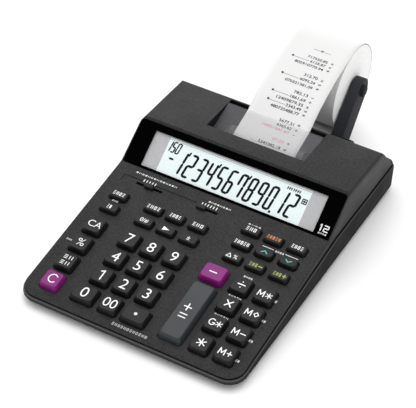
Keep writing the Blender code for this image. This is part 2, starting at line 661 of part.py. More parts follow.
def paper_path():
    """Side view of the paper: off the roll's underside, through the printer, out and over the roll."""
    under_roll = tangent_point(INLET, ROLL_AXIS, ROLL_RADIUS + 0.6, -1)
    platen = platen_axis()
    wrap = PLATEN_RADIUS + GAP + PAPER_HALF_THICKNESS
    under_platen = tangent_point(INLET, platen, wrap, 1)
    start = angle_about(platen, under_platen) % 360
    end = 90.0 + math.degrees(math.asin(TEAR_ALONG.y))
    path = [under_roll, INLET] + arc(platen, wrap, start, end, 10)
    plate_end = path[-1] + TEAR_ALONG * 22.4
    over = ROLL_RADIUS + STRIP_LIFT
    landing = arc(ROLL_AXIS, over, STRIP_START_ANGLE, STRIP_END_ANGLE, 16)
    rise = [plate_end - TEAR_ALONG * 6.0, plate_end] + [Vector(p) for p in STRIP_RISE] + landing[:2]
    return path + smooth_through(rise, 4)[:-1] + landing


def make_paper():
    path = paper_path()
    front, back = [], []
    for i, point in enumerate(path):
        along = (path[min(i + 1, len(path) - 1)] - path[max(i - 1, 0)]).normalized()
        across = left_of(along) * PAPER_HALF_THICKNESS
        front.append(point + across)
        back.append(point - across)
    outline = front + back[::-1]
    x0, x1 = PAPER_CENTRE_X - PAPER_HALF_WIDTH, PAPER_CENTRE_X + PAPER_HALF_WIDTH
    bm = bmesh.new()
    sides = [[bm.verts.new(Vector(p) * MM) for p in side_ring(outline, x)] for x in (x0, x1)]
    count = len(outline)
    for i in range(count):
        j = (i + 1) % count
        bm.faces.new((sides[0][i], sides[0][j], sides[1][j], sides[1][i]))
    for side in sides:
        for i in range(len(path) - 1):
            j = count - 1 - i
            bm.faces.new((side[i], side[i + 1], side[j - 1], side[j]))
    make_object("paper_web", bm, PAPER, smooth=True)

    rings = [[(x, p.x, p.y) for p in arc(Vector((0, 0)), radius, 0, 352.5, 47)]
             for radius, x in ((CORE_RADIUS, -PAPER_HALF_WIDTH), (ROLL_RADIUS, -PAPER_HALF_WIDTH),
                               (ROLL_RADIUS, PAPER_HALF_WIDTH), (CORE_RADIUS, PAPER_HALF_WIDTH))]
    bm = bmesh.new()
    loops = [[bm.verts.new(Vector(p) * MM) for p in ring] for ring in rings]
    for index, low in enumerate(loops):
        high = loops[(index + 1) % len(loops)]
        for i in range(len(low)):
            j = (i + 1) % len(low)
            bm.faces.new((low[i], low[j], high[j], high[i]))
    roll = make_object("paper_roll", bm, PAPER, smooth=True)
    roll.location = Vector((PAPER_CENTRE_X, ROLL_AXIS.x, ROLL_AXIS.y)) * MM


def make_roll_holder():
    """Two arms on a cross bar, modelled about the hinge axis."""
    head = ROLL_AXIS - HOLDER_AXIS
    lean = math.degrees(math.atan2(head.y, head.x))
    spread = math.degrees(math.asin((HOLDER_HEAD_RADIUS - HOLDER_FOOT_RADIUS) / head.length))
    outline = arc(head, HOLDER_HEAD_RADIUS, lean - 90 - spread, lean + 90 + spread, 10)
    outline += arc(Vector((0, 0)), HOLDER_FOOT_RADIUS, lean + 90 + spread, lean + 270 - spread, 8)
    bodies = []
    for side in (-1, 1):
        inner = [(side * ARM_INNER, p.x, p.y) for p in outline]
        outer = []
        for p in outline:
            share = p.dot(head) / head.length_squared
            reach = ARM_OUTER_LOW + (ARM_OUTER_HIGH - ARM_OUTER_LOW) * share
            outer.append((side * reach, p.x, p.y))
        bodies.append((add_loft, ([inner, outer],)))
    holder = solid("roll_holder", bodies, finish=ARM_DARK)
    additions = [(add_cylinder_x, (Vector((0.0, -4.6)), 3.4, -ARM_INNER - 1.0, ARM_INNER + 1.0, 14))]
    for side in (-1, 1):
        stub = sorted((side * (ARM_INNER - STUB_LENGTH), side * (ARM_INNER + 1.0)))
        nub = sorted((side * (ARM_OUTER_HIGH - 1.0), side * (ARM_OUTER_HIGH + 1.6)))
        pin = sorted((side * (ARM_OUTER_LOW - 1.0), side * (ARM_OUTER_LOW + PIN_LENGTH)))
        additions.append((add_cylinder_x, (head, STUB_RADIUS, *stub, 24)))
        additions.append((add_cylinder_x, (head, 4.0, *nub, 16)))
        additions.append((add_cylinder_x, (Vector((0, 0)), PIN_RADIUS, *pin, 16)))
    extra = solid("holder_bar_stubs_and_pins", additions)
    boolean(holder, "UNION", extra)
    for made in (holder, extra):
        made.location = Vector((PAPER_CENTRE_X, HOLDER_AXIS.x, HOLDER_AXIS.y)) * MM


# ---------------------------------------------------------------- assembly

def make_empty(name, parent, location, slope=None):
    made = bpy.data.objects.new(name, None)
    bpy.context.scene.collection.objects.link(made)
    made.parent = parent
    made.location = Vector(location) * MM
    if slope:
        made.rotation_euler = (math.atan2(slope.y, slope.x), 0.0, 0.0)
    return made


for existing in list(bpy.data.objects):
    bpy.data.objects.remove(existing)

CHARCOAL = material("charcoal_grained", (0.036, 0.036, 0.038), 0.55)
CHARCOAL_LOW = material("charcoal_lower", (0.042, 0.042, 0.045), 0.5)
GLOSS_BLACK = material("gloss_black", (0.004, 0.004, 0.005), 0.08)
LCD_PALE = material("lcd_pale", (0.66, 0.76, 0.76), 0.3)
KEY_DARK = material("key_dark", (0.02, 0.02, 0.022), 0.42)
MAGENTA = material("key_magenta", (0.32, 0.035, 0.28), 0.35)
SLATE = material("key_slate", (0.1, 0.115, 0.125), 0.38)
CLEAR = material("clear_plastic", (0.7, 0.7, 0.72), 0.12)
ARM_DARK = material("arm_dark", (0.03, 0.03, 0.036), 0.4)
PAPER = material("paper_white", (0.85, 0.85, 0.84), 0.8)
RUBBER = material("rubber_grey", (0.08, 0.08, 0.08), 0.8)
BOARD_GREEN = material("board_green", (0.03, 0.16, 0.07), 0.5)
DRUM_GREY = material("drum_grey", (0.25, 0.25, 0.26), 0.5)
STEEL = material("zinc_steel", (0.55, 0.56, 0.58), 0.35, 1.0)

FRAME = make_empty("front_edge", None, (0.0, -OVERALL_DEPTH / 2, 0.0))
PANEL = make_empty("keyboard_plane", FRAME, (0.0, *PANEL_FRONT), PANEL_ALONG)
BEZEL = make_empty("bezel_plane", FRAME, (0.0, *BEZEL_BOTTOM), BEZEL_ALONG)

make_upper_housing()
make_lower_housing()
make_display()
make_printer_cover()
make_tear_plate()
make_keys()
make_switches()
make_keyboard_layers()
make_mechanism()
make_paper()
make_roll_holder()
make_battery_door()
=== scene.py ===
"""Looks of the printing desk calculator: fine shapes, materials, printed marks, light and camera.

Lengths are in millimetres from the middle of the calculator's front edge on the floor (x right, y back,
z up) and become metres in the row frame through place(). Points with two numbers are (y, z) of the side
view, or a place on a sloping plane.
"""

import json
import math
import random

import bmesh
import bpy
from mathutils import Matrix, Vector


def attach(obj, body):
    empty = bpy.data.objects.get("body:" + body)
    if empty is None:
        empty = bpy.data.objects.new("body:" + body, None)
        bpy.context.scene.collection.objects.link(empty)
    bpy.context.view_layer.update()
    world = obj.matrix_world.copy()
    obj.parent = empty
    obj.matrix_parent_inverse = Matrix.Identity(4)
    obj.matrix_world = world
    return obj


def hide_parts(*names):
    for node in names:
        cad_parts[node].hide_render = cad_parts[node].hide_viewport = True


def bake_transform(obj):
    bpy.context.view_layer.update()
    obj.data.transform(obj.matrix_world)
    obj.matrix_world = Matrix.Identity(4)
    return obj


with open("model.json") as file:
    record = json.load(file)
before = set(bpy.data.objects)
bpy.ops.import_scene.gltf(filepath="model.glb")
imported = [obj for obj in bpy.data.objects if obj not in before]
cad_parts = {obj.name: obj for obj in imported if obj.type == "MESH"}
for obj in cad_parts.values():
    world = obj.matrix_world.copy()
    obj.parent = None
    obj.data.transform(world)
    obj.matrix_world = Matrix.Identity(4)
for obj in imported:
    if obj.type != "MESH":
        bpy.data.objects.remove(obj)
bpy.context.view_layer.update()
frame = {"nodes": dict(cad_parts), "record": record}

MM = 0.001
HALF_DEPTH = 185.85  # from the front edge to the row frame's origin
NODES = frame["nodes"]
BODY_OF = {node: body for body, nodes in frame["record"]["behaviour"]["bodies"].items() for node in nodes}
SLOT_OF = {part["node"]: part["material_slot"] for part in frame["record"]["subparts"]}

PANEL_FRONT, BEZEL_BOTTOM, BEZEL_TOP = Vector((1.3, 10.3)), Vector((153.9, 34.4)), Vector((186.1, 59.0))
TEAR_LOW, TEAR_HIGH = Vector((216.0, 47.6)), Vector((244.0, 57.6))
ROLL_AXIS, ROLL_RADIUS, CORE_RADIUS = Vector((331.5, 49.0)), 38.5, 6.3
PAPER_X, PAPER_HALF = 1.8, 29.0
INLET = Vector((285.0, 22.0))  # where the paper enters the housing


def place(x, y, z):
    return Vector((x, y - HALF_DEPTH, z)) * MM


def plane_matrix(origin, end):
    """Millimetres on a sloping plane (x across, y up the slope, z out of it) to the row frame."""
    slope = math.atan2(end.y - origin.y, end.x - origin.x)
    return Matrix.Translation(place(0, *origin)) @ Matrix.Rotation(slope, 4, "X") @ Matrix.Scale(MM, 4)


PANEL = plane_matrix(PANEL_FRONT, BEZEL_BOTTOM)
BEZEL = plane_matrix(BEZEL_BOTTOM, BEZEL_TOP)
BEZEL_LENGTH = (BEZEL_TOP - BEZEL_BOTTOM).length
BODY = Matrix.Translation(place(0, 0, 0)) @ Matrix.Scale(MM, 4)


# ---------------------------------------------------------------- materials

def new_material(name, colour, roughness, metallic=0.0, **more):
    made = bpy.data.materials.new(name)
    made.use_nodes = True
    shader = made.node_tree.nodes["Principled BSDF"]
    shader.inputs["Base Color"].default_value = (*colour, 1.0)
    shader.inputs["Roughness"].default_value = roughness
    shader.inputs["Metallic"].default_value = metallic
    for socket, value in more.items():
        shader.inputs[socket.replace("_", " ")].default_value = value
    return made


def add_noise(tree, scale, detail=2.0, stretch=(1, 1, 1)):
    """A noise value in the row frame, with features of about 1 / scale metres."""
    coordinates = tree.nodes.new("ShaderNodeTexCoord")
    mapping = tree.nodes.new("ShaderNodeMapping")
    mapping.inputs["Scale"].default_value = stretch
    noise = tree.nodes.new("ShaderNodeTexNoise")
    noise.inputs["Scale"].default_value = scale
    noise.inputs["Detail"].default_value = detail
    tree.links.new(coordinates.outputs["Object"], mapping.inputs["Vector"])
    tree.links.new(mapping.outputs["Vector"], noise.inputs["Vector"])
    return noise.outputs["Fac"]


NOISE_LOW, NOISE_HIGH = 0.3, 0.7  # a noise value mostly lies between these
MIX_FIRST, MIX_SECOND, MIX_OUT = 6, 7, 2  # the colour sockets of a Mix node


def remap(tree, value, low, high):
    """A noise value stretched to run from low to high."""
    ranged = tree.nodes.new("ShaderNodeMapRange")
    ranged.inputs["From Min"].default_value = NOISE_LOW
    ranged.inputs["From Max"].default_value = NOISE_HIGH
    ranged.inputs["To Min"].default_value = low
    ranged.inputs["To Max"].default_value = high
    tree.links.new(value, ranged.inputs["Value"])
    return ranged.outputs["Result"]


def vary_colour(made, value, dark, light):
    """Mix the base colour between two tints of itself by a value."""
    tree = made.node_tree
    shader = tree.nodes["Principled BSDF"]
    base = shader.inputs["Base Color"].default_value[:3]
    mix = tree.nodes.new("ShaderNodeMix")
    mix.data_type = "RGBA"
    mix.inputs[MIX_FIRST].default_value = (*(c * dark for c in base), 1.0)
    mix.inputs[MIX_SECOND].default_value = (*(min(1.0, c * light) for c in base), 1.0)
    tree.links.new(remap(tree, value, 0.0, 1.0), mix.inputs[0])
    tree.links.new(mix.outputs[MIX_OUT], shader.inputs["Base Color"])


def add_bump(made, value, distance, strength=1.0):
    tree = made.node_tree
    bump = tree.nodes.new("ShaderNodeBump")
    bump.inputs["Distance"].default_value = distance
    bump.inputs["Strength"].default_value = strength
    tree.links.new(value, bump.inputs["Height"])
    tree.links.new(bump.outputs["Normal"], tree.nodes["Principled BSDF"].inputs["Normal"])


def shade_by_facing(made, away, along, start=-0.5, end=0.7, direction=(0.0, 0.0, 1.0)):
    """Paint shade: multiply the colour by away on faces turned from a direction, and by along on faces turned
    to it.

    start and end are the cosines between which it changes from the one to the other.
    """
    tree = made.node_tree
    shader = tree.nodes["Principled BSDF"]
    coordinates = tree.nodes.new("ShaderNodeTexCoord")
    facing = tree.nodes.new("ShaderNodeVectorMath")
    facing.operation = "DOT_PRODUCT"
    facing.inputs[1].default_value = Vector(direction).normalized()
    tree.links.new(coordinates.outputs["Normal"], facing.inputs[0])
    ranged = tree.nodes.new("ShaderNodeMapRange")
    for socket, value in (("From Min", start), ("From Max", end), ("To Min", away), ("To Max", along)):
        ranged.inputs[socket].default_value = value
    tree.links.new(facing.outputs["Value"], ranged.inputs["Value"])
    mix = tree.nodes.new("ShaderNodeMix")
    mix.data_type = "RGBA"
    mix.inputs[MIX_FIRST].default_value = (0.0, 0.0, 0.0, 1.0)
    tree.links.new(ranged.outputs["Result"], mix.inputs[0])
    tree.links.new(shader.inputs["Base Color"].links[0].from_socket, mix.inputs[MIX_SECOND])
    tree.links.new(mix.outputs[MIX_OUT], shader.inputs["Base Color"])


def plastic(name, colour, roughness, grain=1500.0, depth=0.00006, dark=0.86, light=1.16, spread=0.06, **more):
    """Moulded plastic: a fine grain, slightly uneven gloss and colour."""
    made = new_material(name, colour, roughness, **more)
    tree = made.node_tree
    fine = add_noise(tree, grain, 3.0)
    broad = add_noise(tree, 38.0, 2.0)
    vary_colour(made, fine, dark, light)
    shader = tree.nodes["Principled BSDF"]
    tree.links.new(remap(tree, broad, roughness - spread, roughness + spread), shader.inputs["Roughness"])
    add_bump(made, fine, depth)
    return made


CHARCOAL = plastic("charcoal_grain", (0.0125, 0.0125, 0.013), 0.5, 720.0, 0.00018, 0.3, 2.0,
                   Specular_IOR_Level=0.22)
shade_by_facing(CHARCOAL, 1.0, 0.5, 0.2, 0.9, (1.0, 0.0, 0.0))  # painted shade: darker on the right
# painted light and shade: its base is far lighter than the upper housing's charcoal; the painted shades below
# darken it on all faces but those tilted half up, such as the rounded rim, which keep a painted highlight
CHARCOAL_LOW = plastic("charcoal_lower_grain", (0.088, 0.088, 0.091), 0.5, 1500.0, 0.00003,
                       Specular_IOR_Level=0.02)
shade_by_facing(CHARCOAL_LOW, 0.05, 1.0, -0.3, 0.6)  # painted shade: darker the more a face looks down
shade_by_facing(CHARCOAL_LOW, 1.0, 0.06, 0.8, 0.97)  # painted shadow: dark on the flat ledge inside the groove
shade_by_facing(CHARCOAL_LOW, 1.0, 0.32, 0.42, 0.75, (0.75, 0.66, 0.0))  # painted shade: darker at the rear right corner
KEY_DARK = plastic("key_satin_black", (0.0075, 0.0075, 0.008), 0.42, 2200.0, 0.00002, 0.85, 1.2,
                   Specular_IOR_Level=0.24)
MAGENTA = plastic("key_magenta_satin", (0.20, 0.008, 0.155), 0.36, 2200.0, 0.000012, 0.95, 1.06,
                  Specular_IOR_Level=0.3)
SLATE = plastic("key_slate_satin", (0.031, 0.036, 0.039), 0.38, 2200.0, 0.000012, 0.94, 1.08,
                Specular_IOR_Level=0.3)
GLOSS = plastic("bezel_gloss_black", (0.0003, 0.0003, 0.0004), 0.1, 60.0, 0.000002, 0.9, 1.1, 0.02,
                Specular_IOR_Level=0.012)
ARM = plastic("arm_satin", (0.037, 0.038, 0.044), 0.4, 1800.0, 0.00003, Specular_IOR_Level=0.02)
shade_by_facing(ARM, 1.0, 0.25, 0.2, 0.9, (1.0, 0.0, 0.0))  # painted shade: darker on the right
RUBBER = plastic("rubber_matte", (0.05, 0.05, 0.05), 0.85, 1600.0, 0.00006)
# painted shade: the printer frame is drawn near black, not in its zinc-plated steel, so that it reads as the
# shade inside the housing
FRAME_DARK = plastic("frame_painted_shade", (0.02, 0.02, 0.02), 0.5, 900.0, 0.00003, Specular_IOR_Level=0.1)
MAT_GREY = plastic("silicone_mat", (0.05, 0.05, 0.05), 0.7, 900.0, 0.00003)
DRUM_GREY = plastic("drum_moulded", (0.22, 0.22, 0.23), 0.45, 1300.0, 0.00004)
BOARD = plastic("board_lacquer", (0.02, 0.13, 0.055), 0.35, 500.0, 0.00003, 0.75, 1.3)
LEGEND = plastic("legend_white", (0.88, 0.88, 0.86), 0.5, 2500.0, 0.00001, 0.97, 1.03)
LEGEND_GREY = plastic("legend_grey", (0.55, 0.55, 0.55), 0.5, 2500.0, 0.00001, 0.97, 1.03)
LEGEND_LIME = plastic("legend_lime", (0.36, 0.40, 0.09), 0.5, 2500.0, 0.00001, 0.97, 1.03)
LEGEND_TEAL = plastic("legend_teal", (0.05, 0.42, 0.38), 0.5, 2500.0, 0.00001, 0.97, 1.03)
LEGEND_ORANGE = plastic("legend_orange", (0.62, 0.20, 0.06), 0.5, 2500.0, 0.00001, 0.97, 1.03)
LCD = plastic("lcd_pale_glass", (0.86, 0.97, 0.97), 0.3, 220.0, 0.000002, 0.985, 1.01, 0.03,
              Specular_IOR_Level=0.2)
LCD_BAND = plastic("lcd_edge_grey", (0.50, 0.50, 0.51), 0.35, 300.0, 0.000004, 0.96, 1.04,
                   Specular_IOR_Level=0.2)
SEGMENT = plastic("lcd_segment_black", (0.004, 0.005, 0.006), 0.4, 800.0, 0.000002, Specular_IOR_Level=0.1)
INK = plastic("printed_ink", (0.02, 0.02, 0.03), 0.8, 2600.0, 0.00001, 0.6, 1.8, Specular_IOR_Level=0.1)
INK_RED = plastic("printed_ink_red", (0.70, 0.24, 0.32), 0.8, 2600.0, 0.00001, 0.8, 1.3)
KRAFT = plastic("core_board", (0.33, 0.22, 0.13), 0.8, 900.0, 0.00008, 0.85, 1.15)
INKED = plastic("ink_roller_felt", (0.03, 0.02, 0.09), 0.9, 1400.0, 0.0001)
CLEAR = plastic("clear_tear_plate", (0.42, 0.42, 0.45), 0.2, 90.0, 0.000004, 0.97, 1.03, 0.04,
                Alpha=0.12, Specular_IOR_Level=0.2)
WINDOW = plastic("clear_window", (0.1, 0.1, 0.1), 0.08, 60.0, 0.000001, 0.99, 1.01, 0.01,
                 Alpha=0.02, Specular_IOR_Level=0.03)
CELL = plastic("cell_sleeve", (0.02, 0.10, 0.24), 0.3, 900.0, 0.00001)


def make_metal(name, colour, roughness):
    made = new_material(name, colour, roughness, 1.0)
    tree = made.node_tree
    brushed = add_noise(tree, 260.0, 3.0, (1, 9, 9))
    vary_colour(made, brushed, 0.9, 1.08)
    tree.links.new(remap(tree, brushed, roughness - 0.08, roughness + 0.1),
                   tree.nodes["Principled BSDF"].inputs["Roughness"])
    add_bump(made, brushed, 0.00002)
    return made


STEEL = make_metal("zinc_plated_steel", (0.33, 0.34, 0.35), 0.38)


def make_paper(name, rings, white=0.82):
    """Paper with faint fibres; a roll's end face adds the thin lines between its turns."""
    made = new_material(name, (white, white, white * 0.995), 0.85, Specular_IOR_Level=0.2)
    tree = made.node_tree
    fibres = add_noise(tree, 1800.0, 4.0, (1, 3, 3))
    vary_colour(made, fibres, 0.975, 1.02)
    add_bump(made, fibres, 0.00002)
    if rings:
        coordinates = tree.nodes.new("ShaderNodeTexCoord")
        separate = tree.nodes.new("ShaderNodeSeparateXYZ")
        tree.links.new(coordinates.outputs["Object"], separate.inputs[0])
        centre = place(0, *ROLL_AXIS)
        squares = []
        for axis, middle in ((1, centre.y), (2, centre.z)):
            shifted = add_maths(tree, "SUBTRACT", separate.outputs[axis], middle)
            squares.append(add_maths(tree, "MULTIPLY", shifted, shifted))
        radius = add_maths(tree, "SQRT", add_maths(tree, "ADD", *squares))
        wave = add_maths(tree, "SINE", add_maths(tree, "MULTIPLY", radius, 2 * math.pi / 0.0011))
        uneven = add_maths(tree, "SINE", add_maths(tree, "MULTIPLY", radius, 2 * math.pi / 0.0047))
        lines = add_maths(tree, "MULTIPLY_ADD", add_maths(tree, "ADD", wave, uneven), 0.1, 0.5)
        vary_colour(made, lines, 0.93, 1.0)
        add_bump(made, lines, 0.00004)
    return made


def add_maths(tree, operation, first, *others):
    node = tree.nodes.new("ShaderNodeMath")
    node.operation = operation
    for socket, value in zip(node.inputs, (first, *others)):
        if isinstance(value, (int, float)):
            socket.default_value = value
        else:
            tree.links.new(value, socket)
    return node.outputs[0]


PAPER = make_paper("paper_sheet", False)
shade_by_facing(PAPER, 1.0, 0.86, 0.75, 0.98)  # painted shade: a little darker where it looks straight up
# painted light: the roll's end face is drawn whiter than the sheet, 0.95 against 0.82
PAPER_EDGE = make_paper("paper_roll_end", True, 0.95)

SLOT_MATERIALS = {
    "charcoal_grained": CHARCOAL, "charcoal_lower": CHARCOAL_LOW, "gloss_black": GLOSS, "lcd_pale": LCD,
    "key_dark": KEY_DARK, "key_magenta": MAGENTA, "key_slate": SLATE, "clear_plastic": CLEAR,
    "arm_dark": ARM, "paper_white": PAPER, "rubber_grey": MAT_GREY, "board_green": BOARD,
    "drum_grey": DRUM_GREY, "zinc_steel": STEEL,
}


# ---------------------------------------------------------------- mesh helpers

def piece(name, bm, materials, body, replaces=(), smooth_angle=35.0):
    """Link a mesh in the row frame as a piece that rides on a body."""
    mesh = bpy.data.meshes.new(name)
    bm.to_mesh(mesh)
    bm.free()
    if smooth_angle:
        mesh.shade_smooth()
        mesh.set_sharp_from_angle(angle=math.radians(smooth_angle))
    made = bpy.data.objects.new(name, mesh)
    bpy.context.scene.collection.objects.link(made)
    for material in materials:
        mesh.materials.append(material)
    if body:
        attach(made, body)
    if replaces:
        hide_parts(*replaces)
    return made


def arc(cx, cy, radius, start, end, steps):
    return [(cx + radius * math.cos(math.radians(start + (end - start) * i / steps)),
             cy + radius * math.sin(math.radians(start + (end - start) * i / steps)))
            for i in range(steps + 1)]


def rounded(half_x, half_y, radius, steps=5, straight=0):
    """Anticlockwise rounded rectangle about the origin, starting at its right side's lower end."""
    radius = min(radius, half_x, half_y)
    points = []
    for sx, sy, start in ((1, -1, -90), (1, 1, 0), (-1, 1, 90), (-1, -1, 180)):
        corner = arc(sx * (half_x - radius), sy * (half_y - radius), radius, start, start + 90, steps)
        if points:
            points += between(points[-1], corner[0], straight)
        points += corner
    return points + between(points[-1], points[0], straight)


def between(start, end, count):
    """Points that divide the line from start to end evenly, without its ends."""
    return [(start[0] + (end[0] - start[0]) * i / (count + 1),
             start[1] + (end[1] - start[1]) * i / (count + 1))
            for i in range(1, count + 1)]


def loft(bm, rings, matrix, closed_low=True, closed_high=True, material=0):
    """Join rings of equal counts into a skin; returns its faces."""
    loops = [[bm.verts.new(matrix @ Vector(point)) for point in ring] for ring in rings]
    faces = []
    for low, high in zip(loops, loops[1:]):
        count = len(low)
        for i in range(count):
            j = (i + 1) % count
            faces.append(bm.faces.new((low[i], low[j], high[j], high[i])))
    if closed_low:
        faces.append(bm.faces.new(loops[0][::-1]))
    if closed_high:
        faces.append(bm.faces.new(loops[-1]))
    for face in faces:
        face.material_index = material
    return faces


def closed_skin(bm, rings, matrix, kinds=None):
    """Join rings of equal counts, and the last to the first; kinds are the bands' material indices."""
    loops = [[bm.verts.new(matrix @ Vector(point)) for point in ring] for ring in rings]
    for kind, low, high in zip(kinds or [0] * len(loops), loops, loops[1:] + loops[:1]):
        for i in range(len(low)):
            j = (i + 1) % len(low)
            bm.faces.new((low[i], low[j], high[j], high[i])).material_index = kind


def turned(bm, profile, matrix, segments=32, material=0):
    """A body turned about the matrix's z axis from (radius, z) pairs."""
    rings = [[(x, y, z) for x, y in arc(0, 0, max(radius, 0.01), 0, 360 - 360 / segments, segments - 1)]
             for radius, z in profile]
    return loft(bm, rings, matrix, material=material)


RIM_SIDES, RIM_FRONT, RIM_REAR = 97.0, 17.0, 274.0  # the rim's edges lie outside these
RIM_FLOOR = 8.0  # and above this
TRAY_CENTRE = 142.0
OUTER_WALL = 50.0  # outer faces look away from the tray's centre and lie further from it than this


def weigh_rim(bm):
    """Mark the outer top edge of a tray for a wider rounding."""
    weight = bm.edges.layers.float.new("bevel_weight_edge")
    for edge in bm.edges:
        if len(edge.link_faces) != 2:
            continue
        side, top = sorted(edge.link_faces, key=lambda face: face.normal.z)
        middle = (edge.verts[0].co + edge.verts[1].co) / 2
        outward = middle - place(0, TRAY_CENTRE, 0)
        outward.z = 0.0
        on_rim = (abs(middle.x) > RIM_SIDES * MM or middle.y < place(0, RIM_FRONT, 0).y
                  or middle.y > place(0, RIM_REAR, 0).y)
        if on_rim and middle.z > RIM_FLOOR * MM and top.normal.z > 0.8 and abs(side.normal.z) < 0.1 \
                and side.normal.dot(outward) > OUTER_WALL * MM:
            edge[weight] = 1.0


PARTING = ((0.0, 8.7), (168.0, 27.8), (284.0, 26.2))  # the two housings' parting line, as part.py has it
GROOVE, WIDER_GROOVE = 1.0, 1.0
GROOVE_START = 14.2  # behind the rounded front corners, where the upper shell's wall is only 0.5 mm high
GROOVE_SIDES, GROOVE_REAR = 94.0, 270.0  # outside these are the shell's own walls, inside them its key holes
GROOVE_EDGE = 0.06  # how near to the groove's upper edge a point counts as on it


def widen_groove(bm):
    """Raise a shell's outer lower edge: from nothing at the front to WIDER_GROOVE at the line's bend."""
    for vert in bm.verts:
        y, z = vert.co.y / MM + HALF_DEPTH, vert.co.z / MM
        low, high = PARTING[:2] if y <= PARTING[1][0] else PARTING[1:]
        parting = low[1] + (high[1] - low[1]) * (y - low[0]) / (high[0] - low[0])
        outer = abs(vert.co.x) / MM > GROOVE_SIDES or y > GROOVE_REAR
        if outer and abs(z - parting - GROOVE) < GROOVE_EDGE:
            share = (y - GROOVE_START) / (PARTING[1][0] - GROOVE_START)
            vert.co.z += WIDER_GROOVE * MM * min(1.0, max(0.0, share))


def refine(node, width, segments=3, angle=38.0, material=None, rim=0.0):
    """A CAD node with its edges rounded: the same shape, drawn with clean faces and soft edges."""
    bm = bmesh.new()
    bm.from_mesh(NODES[node].data)
    bmesh.ops.remove_doubles(bm, verts=bm.verts, dist=2e-6)
    bmesh.ops.dissolve_limit(bm, angle_limit=math.radians(0.6), verts=bm.verts, edges=bm.edges)
    slot = SLOT_OF[node]
    if node == "upper_housing":
        widen_groove(bm)
    if rim:
        weigh_rim(bm)
    made = piece(node + "_fine", bm, [material or SLOT_MATERIALS[slot]], BODY_OF[node], (node,), angle)
    if rim:
        rounding = made.modifiers.new("rounded_rim", "BEVEL")
        rounding.width = rim * MM
        rounding.segments = 4
        rounding.limit_method = "WEIGHT"
        rounding.use_clamp_overlap = False
    if width:
        bevel = made.modifiers.new("soft_edges", "BEVEL")
        bevel.width = width * MM
        bevel.segments = segments
        bevel.limit_method = "ANGLE"
        bevel.angle_limit = math.radians(angle)
        bevel.use_clamp_overlap = True
        bevel.harden_normals = True
    return made


def axis_x(x, y, z):
    """Matrix for bodies turned about the x axis, starting at x, y, z."""
    return BODY @ Matrix.Translation((x, y, z)) @ Matrix.Rotation(math.radians(90), 4, "Y")


# ---------------------------------------------------------------- housings and small fixed pieces

for node, width in (("upper_housing", 0.35), ("printer_cover", 0.35), ("battery_door", 0.3),
                    ("main_pcb", 0.0), ("keypad_mat", 0.2), ("decimal_switch", 0.3),
                    ("rounding_switch", 0.3), ("feed_roller", 0.3), ("print_drum", 0.3),
                    ("roll_holder", 1.3), ("tear_plate", 0.25)):
    refine(node, width)
refine("lower_housing", 0.3, rim=1.5)
# the printer frame takes the near-black painted shade instead of its zinc-plated steel
refine("printer_frame", 0.2, material=FRAME_DARK)

FEET = ((-80.0, 24.0), (80.0, 24.0), (-80.0, 268.0), (80.0, 268.0))
for index, (x, y) in enumerate(FEET):
    bm = bmesh.new()
    profile = ((6.15, 0.4), (6.9, 0.15), (7.6, 0.4), (7.9, 1.2), (7.9, 2.9), (7.4, 3.4), (6.15, 3.4))
    rings = [[(px, py, z) for px, py in arc(0, 0, radius, 0, 350, 35)] for radius, z in profile]
    closed_skin(bm, rings, BODY @ Matrix.Translation((x, y, 0)))
    bmesh.ops.recalc_face_normals(bm, faces=bm.faces)
    piece(f"foot_ring_{index + 1}", bm, [RUBBER], "housing")

SCREWS = ((-90.3, 22.0), (90.3, 22.0), (-90.3, 150.0), (90.3, 150.0), (-88.0, 262.0), (88.0, 262.0))
for index, (x, y) in enumerate(SCREWS):
    bm = bmesh.new()
    profile = ((0.0, 4.5), (2.2, 4.5), (2.7, 4.9), (2.8, 6.0), (1.4, 6.1), (1.4, 10.6), (0.3, 10.9))
    turned(bm, profile, BODY @ Matrix.Translation((x, y, 0)), 24)
    for turn in (0, 90):
        cross = Matrix.Rotation(math.radians(turn), 4, "Z")
        outline = rounded(1.5, 0.3, 0.1, 1)
        loft(bm, [[(px, py, 4.40) for px, py in outline], [(px, py, 4.55) for px, py in outline]],
             BODY @ Matrix.Translation((x, y, 0)) @ cross, material=1)
    bmesh.ops.recalc_face_normals(bm, faces=bm.faces)
    piece(f"case_screw_{index + 1}", bm, [STEEL, SEGMENT], "housing")

bm = bmesh.new()
DRUM_AXIS = Vector((209.17, 38.04))
turned(bm, ((1.6, 0), (1.6, 3), (5.6, 3), (5.9, 3.4), (5.9, 62.6), (5.6, 63), (1.6, 63), (1.6, 66)),
       axis_x(PAPER_X - 33.0, DRUM_AXIS.x - 14.3, DRUM_AXIS.y - 5.6))
bmesh.ops.recalc_face_normals(bm, faces=bm.faces)
piece("ink_roller", bm, [INKED], "housing")

for index, (x, z) in enumerate(((-75.4, 12.6), (-58.6, 12.6), (-75.4, 27.4), (-58.6, 27.4))):
    bm = bmesh.new()
    lie = BODY @ Matrix.Translation((x, 199.0, z)) @ Matrix.Rotation(math.radians(-90), 4, "X")
    turned(bm, ((5.0, 0.0), (6.9, 0.1), (7.1, 0.6), (7.1, 47.6), (6.6, 48.0), (2.7, 48.2)), lie, 32)
    turned(bm, ((2.6, 48.0), (2.6, 49.2), (2.2, 49.6)), lie, 20, 1)
    bmesh.ops.recalc_face_normals(bm, faces=bm.faces)
    piece(f"cell_{index + 1}", bm, [CELL, STEEL], "housing")


# ---------------------------------------------------------------- display

def frame_plate(bm, outer, hole, low, high, matrix):
    """A plate with one hole; outer and hole hold the same number of points."""
    closed_skin(bm, [[(x, y, low) for x, y in hole], [(x, y, low) for x, y in outer],
                     [(x, y, high) for x, y in outer], [(x, y, high) for x, y in hole]], matrix)


def shift(points, x, y):
    return [(px + x, py + y) for px, py in points]


WINDOW_X, WINDOW_HALF = 0.7, 79.3
WINDOW_LOW, WINDOW_HIGH = 2.5, 34.0
WINDOW_MID = (WINDOW_LOW + WINDOW_HIGH) / 2
WINDOW_TALL = (WINDOW_HIGH - WINDOW_LOW) / 2

